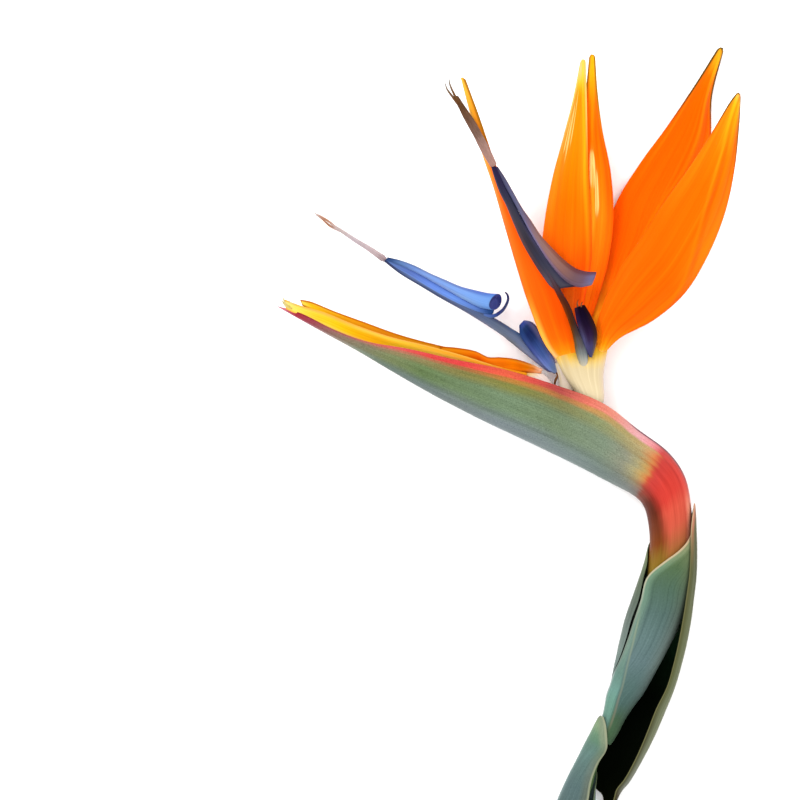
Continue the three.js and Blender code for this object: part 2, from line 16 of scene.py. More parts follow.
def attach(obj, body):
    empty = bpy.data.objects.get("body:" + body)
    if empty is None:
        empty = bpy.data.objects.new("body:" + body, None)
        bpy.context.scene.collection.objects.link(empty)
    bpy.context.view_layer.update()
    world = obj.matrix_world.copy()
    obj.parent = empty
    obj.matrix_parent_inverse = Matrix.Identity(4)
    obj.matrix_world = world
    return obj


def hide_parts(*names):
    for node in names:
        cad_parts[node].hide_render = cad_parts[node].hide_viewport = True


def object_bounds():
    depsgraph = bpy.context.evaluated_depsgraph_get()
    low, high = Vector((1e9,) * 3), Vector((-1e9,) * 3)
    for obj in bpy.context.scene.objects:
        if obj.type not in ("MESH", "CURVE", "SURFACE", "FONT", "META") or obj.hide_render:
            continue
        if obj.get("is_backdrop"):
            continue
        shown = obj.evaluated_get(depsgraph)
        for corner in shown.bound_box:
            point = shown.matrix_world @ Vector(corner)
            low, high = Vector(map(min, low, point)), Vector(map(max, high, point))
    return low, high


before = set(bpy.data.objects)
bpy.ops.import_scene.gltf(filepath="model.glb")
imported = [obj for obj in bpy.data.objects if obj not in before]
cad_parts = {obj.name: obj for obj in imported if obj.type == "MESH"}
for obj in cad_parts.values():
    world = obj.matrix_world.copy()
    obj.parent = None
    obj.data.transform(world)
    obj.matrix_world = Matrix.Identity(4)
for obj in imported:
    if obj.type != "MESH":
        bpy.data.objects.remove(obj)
cad_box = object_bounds()
MM = 0.001
print("nodes:", len(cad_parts))

# %% [markdown]
# ## Camera
#
# The picture looks straight down on the flower with hardly any perspective, so the camera hangs far above
# with a long lens. The picture is 800 pixels wide and shows 288 mm at the middle of the flower's height. A
# short helper turns a pixel into a point, so that outlines can be read straight off the picture.

# %% Camera
PIXEL = 0.36 * MM
PICTURE = 800
ORIGIN_COLUMN, ORIGIN_ROW = 508, 493
FLOWER_HEIGHT = 12 * MM
HEIGHT = 8.0
SENSOR = 36.0


def seen(column, row, height=0.0):
    """The point that the picture shows at a pixel, at a height in millimetres."""
    return Vector(((column - ORIGIN_COLUMN) * PIXEL, (ORIGIN_ROW - row) * PIXEL, height * MM))


eye = bpy.data.cameras.new("camera")
eye.sensor_width = SENSOR
eye.lens = SENSOR * HEIGHT / (PICTURE * PIXEL)
camera = bpy.data.objects.new("camera", eye)
camera.location = seen(PICTURE / 2, PICTURE / 2) + Vector((0, 0, HEIGHT + FLOWER_HEIGHT))
bpy.context.scene.collection.objects.link(camera)
bpy.context.scene.camera = camera
print("lens in mm:", round(eye.lens))

# %% [markdown]
# ## Floor and light
#
# The flower was shown on white, under soft light. An almost white floor and a bright, even sky give that, and
# one broad lamp from the upper left adds a little shape. The light is set so high that even the soft shadow
# on the floor is white, and every colour of the flower is divided by the same amount, so it still looks as
# it should.

# %% Floor and light
FLOOR_SIZE = 3.0
FLOOR_DROP = 0.02 * MM
LIGHT = 2.2
SKY_SHARE = 0.86
LAMP_POWER = 28

ground = bmesh.new()
bmesh.ops.create_grid(ground, x_segments=1, y_segments=1, size=FLOOR_SIZE)
floor_mesh = bpy.data.meshes.new("floor")
ground.to_mesh(floor_mesh)
ground.free()
floor = bpy.data.objects.new("floor", floor_mesh)
floor.location.z = -FLOOR_DROP
bpy.context.scene.collection.objects.link(floor)
paper = bpy.data.materials.new("pale_floor")
paper.use_nodes = True
paper_sockets = paper.node_tree.nodes["Principled BSDF"].inputs
paper_sockets["Base Color"].default_value = (0.95, 0.95, 0.95, 1)
paper_sockets["Roughness"].default_value = 0.9
floor_mesh.materials.append(paper)
floor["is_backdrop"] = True

sky = bpy.data.worlds.new("sky")
sky.use_nodes = True
sky_sockets = sky.node_tree.nodes["Background"].inputs
sky_sockets["Color"].default_value = (1, 1, 1, 1)
sky_sockets["Strength"].default_value = LIGHT * SKY_SHARE
bpy.context.scene.world = sky


def lamp(name, place, size, power):
    """A broad square lamp that faces the middle of the flower."""
    light = bpy.data.lights.new(name, "AREA")
    light.size = size
    light.energy = power
    unit = bpy.data.objects.new(name, light)
    unit.location = place
    unit.rotation_euler = (-Vector(place)).to_track_quat("-Z", "Y").to_euler()
    bpy.context.scene.collection.objects.link(unit)


lamp("broad_lamp", (-0.6, 0.6, 1.3), 0.5, LAMP_POWER * LIGHT * (1 - SKY_SHARE))
bpy.context.scene.view_settings.view_transform = "Standard"
print("floor, sky and lamp are in place")

# %% [markdown]
# ## Curves through the flower's own points
#
# Every edge of the flower is a smooth curve through a few measured points, and widths and angles vary along
# a piece in the same way. One helper blends between evenly spaced values, and three wrap it for points,
# sizes in millimetres and plain numbers.


# %% Smooth curves
def between(known, t):
    """The value at t, from 0 to 1, on a smooth curve through evenly spaced numbers or points."""
    place = min(max(t, 0.0), 1.0) * (len(known) - 1)
    i = min(int(place), len(known) - 2)
    u = place - i
    first, last = known[i], known[i + 1]
    before = known[i - 1] if i else first * 2 - last
    after = known[i + 2] if i + 2 < len(known) else last * 2 - first
    leaving, arriving, rise = (last - before) / 2, (after - first) / 2, last - first
    bend = rise * 3 - leaving * 2 - arriving
    return first + leaving * u + bend * u**2 + (leaving + arriving - rise * 2) * u**3


def line(*points):
    """A curve through points in millimetres."""
    known = [Vector(point) * MM for point in points]
    return lambda t: between(known, t)


def sizes(*values):
    """A size in millimetres that varies along a piece."""
    known = [value * MM for value in values]
    return lambda t: between(known, t)


def numbers(*values):
    """A plain number that varies along a piece."""
    return lambda t: between(values, t)


def smooth(start, end, value):
    """0 before start, 1 after end, and an even rise in between."""
    share = min(max((value - start) / (end - start), 0.0), 1.0)
    return share * share * (3 - 2 * share)


def mix(a, b, share):
    return a + (b - a) * share


print("halfway through 1, 2, 4:", numbers(1, 2, 4)(0.5))

# %% [markdown]
# ## Laying a grid over a surface
#
# Leaves, tubes and folded blades are all sheets that grow along one direction. A flat grid from
# bmesh.ops.create_grid has the right faces and its own UV map, so each vertex only has to be moved to its
# place on the surface. A sheet that closes on itself has its seam merged. Marks are numbers kept on the
# vertices, such as the distance to an edge, for the finishes to read.


# %% Grid helpers
MERGE = 0.001 * MM


def lay(place, along, across, closed=False, marks=None):
    """A grid laid where place(t, s) says, t along the piece and s across it, both from 0 to 1."""
    grid = bmesh.new()
    grid.loops.layers.uv.new("UVMap")
    layers = {name: grid.verts.layers.float.new(name) for name in marks or {}}
    bmesh.ops.create_grid(grid, x_segments=across, y_segments=along, size=0.5, calc_uvs=True)
    for vertex in grid.verts:
        s, t = vertex.co.x + 0.5, vertex.co.y + 0.5
        vertex.co = place(t, s)
        vertex.co.z = max(vertex.co.z, 0.0)
        for name, layer in layers.items():
            vertex[layer] = marks[name](t, s)
    if closed:
        bmesh.ops.remove_doubles(grid, verts=grid.verts, dist=MERGE)
        bmesh.ops.holes_fill(grid, edges=[edge for edge in grid.edges if edge.is_boundary])
    return grid


def show(name, grid, node, slot, *finishes, wall=0.0, offset=0.0, levels=1):
    """Turns the grid into a piece that stands for a node. A wall gives a sheet its thickness."""
    mesh = bpy.data.meshes.new(name)
    grid.to_mesh(mesh)
    grid.free()
    mesh.shade_smooth()
    piece = bpy.data.objects.new(name, mesh)
    bpy.context.scene.collection.objects.link(piece)
    for finish in finishes:
        mesh.materials.append(finish)
    if wall:
        shell = piece.modifiers.new("wall", "SOLIDIFY")
        shell.thickness = wall
        shell.offset = offset
        shell.use_even_offset = True
        if len(finishes) > 1:
            shell.material_offset = 1
        if "wall" in mesh.attributes:
            thin_where_marked(piece, shell)
    if levels:
        fine = piece.modifiers.new("fine", "SUBSURF")
        fine.levels = fine.render_levels = levels
    if node:
        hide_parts(node)
    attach(piece, "root")
    print(name, len(mesh.polygons), "faces")


def thin_where_marked(piece, shell):
    """Scales the wall by the vertices' own mark called wall."""
    group = piece.vertex_groups.new(name="wall")
    for vertex, mark in zip(piece.data.vertices, piece.data.attributes["wall"].data):
        group.add([vertex.index], mark.value, "REPLACE")
    shell.vertex_group = group.name


# %% [markdown]
# ## Finishes
#
# Every finish is a node tree that reads the piece's own UV map and marks, so a pattern follows the growth of
# the leaf. This small class keeps the shader and gives short names to the nodes that plants need most:
# a row of shades, a soft step, a mix and a grain stretched along the fibres. A row of shades is written as
# text, with a place in percent and a colour for each stop. Most of these colours were measured on the
# photograph, at places along and across each piece, with the light divided out.
#
# A plant's colours change slowly along it and differ from side to side, so most finishes blend a few rows of
# shades and then lay fine veins over them. The same grain gives the bumps and the roughness. The gloss is
# weak and takes the body's own colour, because a white gloss makes a petal look like plastic.


# %% Colours in the light
def linear(colour):
    """A colour as it looks in the light, such as "#fb7a08", as the linear numbers of the surface itself."""
    parts = [int(colour[i : i + 2], 16) / 255 for i in (1, 3, 5)]
    seen_light = [((c + 0.055) / 1.055) ** 2.4 if c > 0.04045 else c / 12.92 for c in parts]
    return tuple(part / LIGHT for part in seen_light) + (1.0,)


print("orange in linear numbers:", [round(part, 3) for part in linear("#fb7a08")])

# %% The finish class
GLOSS = 0.11


class Finish:
    """A material, with short ways to add the nodes that colour it. A lift above 1 keeps a colour's red, green
    or blue full in the shade, as in a petal that glows."""

    def __init__(self, name, lift=(1.0, 1.0, 1.0)):
        self.lift = lift
        self.material = bpy.data.materials.new(name)
        self.material.use_nodes = True
        self.tree = self.material.node_tree
        self.shader = self.tree.nodes["Principled BSDF"]
        self.shader.inputs["Specular IOR Level"].default_value = GLOSS
        self.uv = self.node("UVMap", uv_map="UVMap")
        self.across = self.node("SeparateXYZ", {0: self.uv}, output=0)
        self.along = self.node("SeparateXYZ", {0: self.uv}, output=1)

    def tone(self, colour):
        return tuple(part * lift for part, lift in zip(linear(colour), self.lift)) + (1.0,)

    def node(self, kind, sockets=None, output=0, **settings):
        """Adds a node, sets it up, joins or fills its sockets, and gives back one of its outputs."""
        node = self.tree.nodes.new("ShaderNode" + kind)
        for name, value in settings.items():
            setattr(node, name, value)
        for socket, value in (sockets or {}).items():
            if isinstance(value, bpy.types.NodeSocket):
                self.tree.links.new(value, node.inputs[socket])
            else:
                node.inputs[socket].default_value = self.tone(value) if isinstance(value, str) else value
        return node.outputs[output]

    def mark(self, name):
        return self.node("Attribute", output="Fac", attribute_name=name)

    def math(self, operation, a, b=0.0, c=0.0):
        return self.node("Math", {0: a, 1: b, 2: c}, operation=operation)

    def step(self, value, start, end):
        """0 at start and 1 at end, with an even rise, or the other way round."""
        limits = {"Value": value, "From Min": start, "From Max": end}
        return self.node("MapRange", limits, interpolation_type="SMOOTHSTEP")

    def stripe(self, value, middle, width):
        """1 at the middle and 0 half a width from it."""
        distance = self.math("ABSOLUTE", self.math("SUBTRACT", value, middle))
        return self.step(distance, width / 2, 0.0)

    def all(self, *factors):
        """The product of several factors."""
        product = factors[0]
        for factor in factors[1:]:
            product = self.math("MULTIPLY", product, factor)
        return product

    def shades(self, value, row):
        """Colours along a value. A row such as "0 #fff0c0, 100 #fb7a08" lists places in percent and colours."""
        stops = [stop.split() for stop in row.split(",")]
        places = [float(place) / 100 for place, colour in stops]
        socket = self.node("ValToRGB", {0: value})
        ramp = socket.node.color_ramp
        for place in places[2:]:
            ramp.elements.new(place)
        for element, place in zip(ramp.elements, places):
            element.position = place
        for element, (place, colour) in zip(ramp.elements, stops):
            element.color = self.tone(colour)
        return socket

    def sided(self, place, across, middle, left, right, at_left, at_right):
        """Blends a row of shades along the middle with one along each side, which fades in over two places."""
        body = self.mix(self.step(across, *at_left), self.shades(place, middle), self.shades(place, left))
        return self.mix(self.step(across, *at_right), body, self.shades(place, right))

    def running(self, fibres, amount):
        """The place along the piece, shifted from fibre to fibre, so that colours run into each other."""
        shift = self.math("SUBTRACT", self.grain(fibres, 2.0, detail=4), 0.5)
        return self.math("ADD", self.along, self.all(shift, amount))

    def mix(self, amount, under, over, blend="MIX"):
        sockets = {0: amount, 6: under, 7: over}
        return self.node("Mix", sockets, output=2, data_type="RGBA", blend_type=blend)

    def grain(self, across, along, detail=3.0, distortion=0.0):
        """Noise on the UV map, with so many grains across and along the piece."""
        stretched = self.node("Mapping", {"Vector": self.uv, "Scale": (across, along, 1)})
        sockets = {"Vector": stretched, "Scale": 1.0, "Detail": detail, "Distortion": distortion}
        return self.node("TexNoise", sockets)

    def speckle(self, size, detail=2.0):
        """Even noise in the object's own space, with grains of a size in millimetres."""
        place = self.node("TexCoord", output="Object")
        return self.node("TexNoise", {"Vector": place, "Scale": 1 / (size * MM), "Detail": detail})

    def veins(self, body, grain, light, dark):
        """Lightens the body where the grain is high and darkens it where it is low, and keeps its hue."""
        high = self.all(self.step(grain, 0.5, 0.75), light)
        low = self.all(self.step(grain, 0.5, 0.25), dark)
        return self.mix(low, self.mix(high, body, (1, 1, 1, 1), "SOFT_LIGHT"), (0, 0, 0, 1), "SOFT_LIGHT")

    def colour(self, socket):
        """Joins the body's colour to the shader. It tints the gloss too."""
        self.tree.links.new(socket, self.shader.inputs["Base Color"])
        self.tree.links.new(socket, self.shader.inputs["Specular Tint"])

    def relief(self, height, depth, sleek=0.34, dull=0.6):
        """Fine bumps, depth millimetres deep. The raised grains are sleek and the hollows are dull."""
        bump = self.node("Bump", {"Height": height, "Strength": 1.0, "Distance": depth * MM})
        self.tree.links.new(bump, self.shader.inputs["Normal"])
        limits = {"Value": height, "From Min": 0.3, "From Max": 0.7, "To Min": dull, "To Max": sleek}
        self.tree.links.new(self.node("MapRange", limits), self.shader.inputs["Roughness"])

# %% [markdown]
# ## Spathe
#
# The beak is one leaf folded along its keel, with two red lips that stand apart where the flowers come out.
# Past the flowers the lips close, and the leaf becomes the round red neck. It is one grid that starts at the
# near lip, goes over the near side to the keel and comes back on the far side, so the lips part by
# themselves where the section doesn't close.

# %% The spathe's lines
lips = line(
    (-83.5, 67.5, 14), (-74, 64.5, 13.6), (-62.5, 58.8, 13), (-50.5, 54.5, 12.4), (-35.5, 51.9, 11.8),
    (-19, 48.1, 11.2), (-1, 44.5, 10.8), (17, 39, 10.6), (34, 32.5, 10.6), (47.5, 22.5, 11),
    (57.5, 15, 11.3), (63.5, 6.5, 11.5), (65.8, -3.5, 11.5), (66.3, -14.5, 11.5), (65.4, -26.5, 11.5),
    (62, -38, 11.5)
)
keel = line(
    (-83, 67, 14), (-75, 62.5, 13.6), (-65, 57, 13), (-54, 51, 12.4), (-40.5, 43, 11.8),
    (-25.5, 34.5, 11.2), (-9, 26, 10.8), (8, 18, 10.6), (24.5, 10, 10.6), (37.2, 3.4, 11),
    (44.9, -0.7, 11.3), (48.6, -4.4, 11.5), (50.3, -9.8, 11.5), (51, -18, 11.5), (50.2, -27, 11.5),
    (50.5, -36.5, 11.5)
)
spathe_depth = sizes(0.5, 1.7, 2.9, 4.1, 5.6, 7.2, 8.8, 10.2, 11, 10.9, 10.2, 8.7, 7.3, 7, 6.8, 6)
slit_half = sizes(0.2, 0.9, 1.8, 2.5, 2.7, 2.7, 3, 4.8, 5.8, 5.8, 5.8, 5.8, 5.8, 5.8, 5.8, 5.8)
LIP_WALL = 1.3 * MM
SPATHE_WALL = 0.9 * MM
MOUTH_END = (0.52, 0.60)
ROUND_NECK = (0.56, 0.70)
print("from the beak's tip to the neck's end:", round((lips(0) - lips(1)).length / MM), "mm")


# %% The spathe's surface
def spathe_half(t, s):
    """Half the spathe's thickness, from the lips (s is -1) to the keel (s is 1)."""
    deep = spathe_depth(t)
    lip = min((slit_half(t) + LIP_WALL) / deep, 0.9) * (1 - smooth(*MOUTH_END, t))
    side = lip + (1 - lip) * max(math.cos(s * math.pi / 2), 0) ** 0.75
    fold = (1 - abs(s) ** 2.2) ** 0.6
    rounded = math.sqrt(max(1 - s * s, 0))
    return deep * mix(side if s < 0 else fold, rounded, smooth(*ROUND_NECK, t))


def spathe_place(t, across):
    turn = 1 - abs(2 * across - 1)
    s = -math.cos(math.pi * turn)
    place = lips(t).lerp(keel(t), (s + 1) / 2)
    place.z += math.copysign(spathe_half(t, s), 0.5 - across)
    return place


def share_from_lip(across):
    return (1 - math.cos(math.pi * (1 - abs(2 * across - 1)))) / 2


spathe_marks = {
    "share": lambda t, s: share_from_lip(s),
    "from_lip": lambda t, s: share_from_lip(s) * (lips(t) - keel(t)).length / MM,
    "wall": lambda t, s: min(max((spathe_depth(t) / MM - 0.4) / 2.5, 0.0), 1.0),
}

# %% [markdown]
# The leaf is green with a grey bloom towards the keel, and has a red band along the lips that turns into green
# through orange and olive. The neck is red, and darkens to brown on its inner side. Each band has its own row
# of colours along the leaf, and the bands blend by the share of the way from lip to keel.

# %% The spathe's finish
skin = Finish("spathe_skin")
place = skin.running(60, 0.03)
share = skin.math("ADD", skin.mark("share"), skin.all(skin.grain(14, 16, detail=4), 0.08))
share = skin.math("SUBTRACT", share, 0.04)
share = skin.math("ADD", share, skin.all(skin.stripe(skin.along, 0.46, 0.12), 0.035))
side = skin.shades(
    place, "0 #f4c0cc, 3 #d8607c, 5.4 #b43444, 9 #a84c56, 12.5 #9c6c66, 16.5 #93806b, 20 #888469, "
    "24 #858e64, 30 #6e8557, 34 #738962, 42 #7b9272, 48 #7a8e6e, 56 #899a82, 60 #989a84, 62.5 #b2a97e, "
    "64.5 #caa868, 66 #dc9656, 67.5 #e0603c")
keel_side = skin.shades(
    place, "0 #f0c0cc, 5.4 #b84a5c, 9 #b06070, 13 #9f8078, 17 #9a9380, 20 #8a9882, 24 #6d8070, 30 #748480, "
    "36 #828e8c, 42 #889598, 52 #869694, 58 #7c8c86, 64 #868c88, 67 #867c74, 69 #8a4a3c")
body = skin.mix(skin.step(share, 0.62, 0.95), side, keel_side)
olive = skin.shades(
    place, "3 #e0607c, 5.4 #b03044, 9 #a84858, 13 #a8706c, 16 #a17e6e, 20 #94816a, 25 #9c8c64, 34 #8d8750, "
    "42 #8c8e4b, 48 #878655, 54 #96a072, 62 #c0ae7c, 65.5 #e89052")
body = skin.mix(skin.step(share, 0.46, 0.28), body, olive)
orange = skin.shades(
    place, "3 #dc5470, 5.4 #a82838, 9 #a84048, 13 #b06a68, 20 #b2806c, 26 #c67c64, 34 #b57249, 42 #cc8c43, "
    "45.5 #c8844a, 48 #b4744a, 52 #d8a060, 58 #b9ab70, 63 #d6b37b, 66 #f1864f")
body = skin.mix(skin.step(share, 0.25, 0.17), body, orange)
# The pale pink from 55 to 63 per cent in the lips' row, where they bend into the neck, is a painted highlight.
lip_red = skin.shades(
    place, "0 #f0c0cc, 3 #d34158, 5.5 #a4202c, 9 #a03040, 14 #b05a5c, 20 #cc7468, 24 #f26e64, 30 #f65250, "
    "35 #fb5250, 41 #ff7050, 44 #ee5c54, 47.5 #c05450, 51.5 #f4806c, 55.5 #ffa08a, 60 #ffbcc0, 63 #ffa4a8, "
    "66 #e04648")
body = skin.mix(skin.step(share, 0.15, 0.1), body, lip_red)
neck_place = skin.math("SUBTRACT", place, skin.math("MULTIPLY_ADD", share, 0.034, 0.006))
bright = skin.shades(
    neck_place, "65 #d84a44, 70 #e4463c, 74 #ea493d, 78 #ee5f4a, 82 #e2624a, 86 #c06a42, 90 #b07c38, "
    "94 #a58834")
dark = skin.shades(
    neck_place, "66 #8a4a3c, 70 #6a3024, 75 #682d1c, 80 #7c3c22, 84 #8c481e, 87.5 #98702a, 92 #a58830")
inner_side = skin.step(skin.math("ADD", share, skin.all(place, 0.9)), 1.25, 1.56)
neck = skin.mix(inner_side, bright, dark)
# Painted light: the neck's edge by the lips turns pale salmon near its end, where the split sheath shades it.
lip_edge_painted_light = skin.all(skin.step(share, 0.16, 0.04), skin.step(skin.along, 0.76, 0.82))
neck = skin.mix(lip_edge_painted_light, neck, "#ff9a7c")
body = skin.mix(skin.step(neck_place, 0.632, 0.664), body, neck)
crest = skin.all(skin.step(skin.mark("from_lip"), 0.7, 0.3), skin.step(skin.along, 0.565, 0.6),
                 skin.step(skin.along, 0.8, 0.68))
body = skin.mix(crest, body, "#6c0c38")
body = skin.veins(body, skin.grain(22, 2, detail=3), 0.2, 0.25)
fibres = skin.grain(170, 12, detail=4)
body = skin.veins(body, fibres, 0.16, 0.2)
on_leaf = skin.step(skin.along, 0.7, 0.62)
dots = skin.all(skin.math("SUBTRACT", skin.speckle(0.45, 3.0), 0.5), on_leaf)
body = skin.veins(body, skin.math("ADD", dots, 0.5), 0.28, 0.36)
skin.colour(body)
skin.relief(fibres, 0.05)

# %% Make the spathe
spathe = lay(spathe_place, 150, 48, marks=spathe_marks)
bmesh.ops.remove_doubles(spathe, verts=spathe.verts, dist=MERGE)
show("spathe_skin", spathe, "spathe", "spathe", skin.material, wall=SPATHE_WALL, offset=-1.0)

# %% [markdown]
# ## Stem
#
# The stalk is a round bar that bends slightly. A grid closed into a tube follows its axis, and both ends are
# capped. The cut end shows paler, with the dots of its fibres.

# %% Stem
stem_axis = line(
    (53.8, -40.4, 11.3), (49.8, -51.4, 11.2), (45.8, -63.2, 10.9), (41.6, -73, 10.5), (37.8, -81.6, 10),
    (33.7, -89.7, 9.5), (29.6, -96.8, 8.8), (26, -106.6, 8), (21.6, -118.4, 7.2), (15.4, -135, 6.1),
    (8.4, -159.2, 5.2)
)
stem_radius = sizes(5.6, 5.6, 4.8, 3.6, 2.5, 2.4, 3.2, 4, 4.8, 5.3, 5.5)
CAP_RING = 0.25 * MM


def round_bar(axis, radius):
    """A place on a round bar: across 0 is its left side, 0.25 its near side and 0.5 its right."""

    def place(t, across):
        along = (axis(min(t + 0.01, 1)) - axis(max(t - 0.01, 0))).normalized()
        side = along.cross(Vector((0, 0, 1))).normalized()
        above = side.cross(along)
        angle = math.pi * (1 - 2 * across)
        return axis(t) + side * radius(t) * math.cos(angle) + above * radius(t) * math.sin(angle)

    return place


stalk = Finish("stalk")
stalk_side = stalk.shades(stalk.grain(26, 1.5, detail=3), "30 #6c8a5c, 70 #87a676")
stalk.colour(stalk.mix(stalk.speckle(0.5), stalk_side, "#5d7a4e", "SOFT_LIGHT"))
stalk.relief(stalk.grain(60, 3), 0.06)

cut_end = Finish("cut_end")
dots = cut_end.node("TexVoronoi", {"Vector": cut_end.node("TexCoord", output="Object"), "Scale": 900.0})
cut_end.colour(cut_end.shades(dots, "12 #8c8f5a, 32 #d5dcae, 60 #c3cf98"))
cut_end.relief(dots, 0.12)

tube = lay(round_bar(stem_axis, stem_radius), 80, 32, closed=True)
for cap in [face for face in tube.faces if len(face.verts) > 4]:
    cap.material_index = 1
    bmesh.ops.inset_individual(tube, faces=[cap], thickness=CAP_RING, depth=0)
show("stalk", tube, "stem", "stem", stalk.material, cut_end.material)

# %% [markdown]
# ## Sheaths
#
# Three bracts wrap the stalk. Each is a leaf rolled between two outlines from one angle to another, thinner
# at its edges. The upper one is cut to a point at the top, and a pale rib runs down its front. The split one
# has come away from the stalk, and the deep shade in its hollow is painted almost black. The lowest clasps
# the stalk.


# %% Rolled leaves
SHEATH_WALL = 0.7 * MM


def rolled(left, right, depth, first, last):
    """A place on a sheath rolled from one angle to another. 0 is its right side and 90 its near side."""

    def place(t, across):
        angle = math.radians(mix(first(t), last(t), across))
        point = left(t).lerp(right(t), (1 + math.cos(angle)) / 2)
        point.z += depth(t) * math.sin(angle)
        return point

    return place


def sheath_marks(left, right, depth, first, last):
    """Millimetres from the front and back edges of a rolled sheath, and its wall."""

    def reach(t, share):
        radius = ((right(t) - left(t)).length / 2 + depth(t)) / 2
        return math.radians(abs(first(t) - last(t))) * radius * share / MM

    return {
        "from_front": lambda t, s: reach(t, s),
        "from_back": lambda t, s: reach(t, 1 - s),
        "wall": lambda t, s: mix(0.4, 1.0, smooth(0, 2.5, reach(t, min(s, 1 - s)))),
        "angle": lambda t, s: mix(first(t), last(t), s),
    }

# %% [markdown]
# The upper sheath is blue-green with a waxy bloom. Its rolled-in edge is cream, and the light catches it, so it
# gets a row of shades of its own. Marks for the distance to each edge and to the rib carry these bands, since
# a band painted by the UV map would widen and narrow with the leaf.

# %% The upper sheath's lines
upper_lines = (
    line(
        (30.8, -87.9, 9.6), (33, -84.2, 9.9), (34.6, -78.2, 10.2), (35.6, -72.6, 10.5),
        (37, -68.4, 10.7), (38.8, -60.8, 11), (40.4, -53.2, 11.2), (42.4, -45.2, 11.3),
        (45, -37.6, 11.4), (47.6, -30.2, 11.4), (49.5, -24.2, 11.5), (50.4, -19.4, 11.5),
        (50.4, -14.8, 11.5), (50.2, -10.4, 11.5), (50, -7.6, 11.5)
    ),
    line(
        (36.6, -90.8, 9.6), (39.2, -86.8, 9.9), (42.1, -81.2, 10.2), (45.5, -76.2, 10.5),
        (48.5, -72.2, 10.7), (52.6, -65, 11), (56.6, -57.6, 11.2), (60.5, -50, 11.3),
        (63.5, -42.4, 11.4), (65.8, -34.2, 11.4), (67, -26.6, 11.5), (67.2, -20.6, 11.5),
        (67, -15, 11.5), (66.6, -10.4, 11.5), (66.2, -7.2, 11.5)
    ),
    sizes(3.4, 3.5, 4.2, 5.2, 5.9, 6.8, 7.7, 8.1, 8.2, 8.1, 8.2, 8.4, 8.5, 8.5, 8.4),
    numbers(190, 190, 190, 190, 182, 150, 137, 134, 135, 140, 108, 68, 32, 14, 4),
    numbers(-163, -163, -163, -164, -172, -206, -218, -218, -219, -209, -202, -174, -122, -62, -6),
)
rib_angle = numbers(90, 90, 92, 99, 106, 113, 116, 121, 127, 131, 108, 68, 32, 14, 4)


def from_rib(t, s):
    angle = mix(upper_lines[3](t), upper_lines[4](t), s)
    radius = ((upper_lines[1](t) - upper_lines[0](t)).length / 2 + upper_lines[2](t)) / 2
    return math.radians(rib_angle(t) - angle) * radius / MM


upper_marks = sheath_marks(*upper_lines)
upper_marks["from_rib"] = from_rib

# %% The upper sheath's finish
skin = Finish("upper_sheath_skin")
front, back, rib = skin.mark("from_front"), skin.mark("from_back"), skin.mark("from_rib")
angle = skin.mark("angle")
place = skin.running(40, 0.04)
length = skin.shades(
    place, "5 #506f4f, 13 #4c694f, 20 #54706a, 30 #5c7874, 38 #6a8384, 46 #688280, 54 #5c7670, 62 #587462, "
    "70 #5d7855, 78 #74885c, 86 #9e9f78")
right_side = skin.shades(
    place, "10 #566f56, 25 #657b74, 32 #748782, 40 #84968e, 48 #7a8880, 56 #6c7a6c, 64 #6c7a60, 74 #7f8c64")
body = skin.mix(skin.step(angle, 75, 15), length, right_side)
front_side = skin.shades(place, "40 #7d988c, 50 #7b998a, 60 #799b84, 70 #7f9e7d, 80 #98a074")
body = skin.mix(skin.all(skin.step(front, 4.5, 1.5), skin.step(skin.along, 0.36, 0.44)), body, front_side)
beyond = skin.shades(place, "10 #749c8e, 18 #76a492, 26 #7aa69a, 33 #6f9286, 42 #84a090")
body = skin.mix(skin.all(skin.step(rib, -0.1, -1.4), skin.step(skin.along, 0.48, 0.4)), body, beyond)
streaks = skin.grain(90, 3, detail=4)
body = skin.veins(body, streaks, 0.2, 0.25)
body = skin.veins(body, skin.speckle(0.6, 3.0), 0.1, 0.12)
rib_colour = skin.shades(place, "8 #8e8a70, 20 #8f8f80, 32 #8fa08a, 50 #a3b092")
on_rib = skin.all(skin.stripe(rib, 0.0, 1.3), skin.step(skin.along, 0.05, 0.12))
below_tip = skin.step(skin.along, 0.56, 0.48)
body = skin.mix(skin.all(on_rib, below_tip, 0.6), body, rib_colour)
margin = skin.shades(skin.along, "30 #6f867c, 50 #8c9e8c, 60 #b0bda6, 66 #d4ccaa, 80 #dcc29a, 92 #e8b890")
body = skin.mix(skin.step(front, 1.3, 0.6), body, margin)
# The back strip's own grey-green, painted paler as painted light where it curls into shade.
back_strip_painted_light = skin.mix(skin.step(back, 0.2, 2.6), "#90a498", "#b2c2be")
body = skin.mix(skin.step(angle, 150, 165), body, back_strip_painted_light)
skin.colour(body)
skin.relief(streaks, 0.05)

# %% Make the upper sheath
upper = lay(rolled(*upper_lines), 90, 60, marks=upper_marks)
show("upper_sheath_skin", upper, "upper_sheath", "sheath", skin.material, wall=SHEATH_WALL)
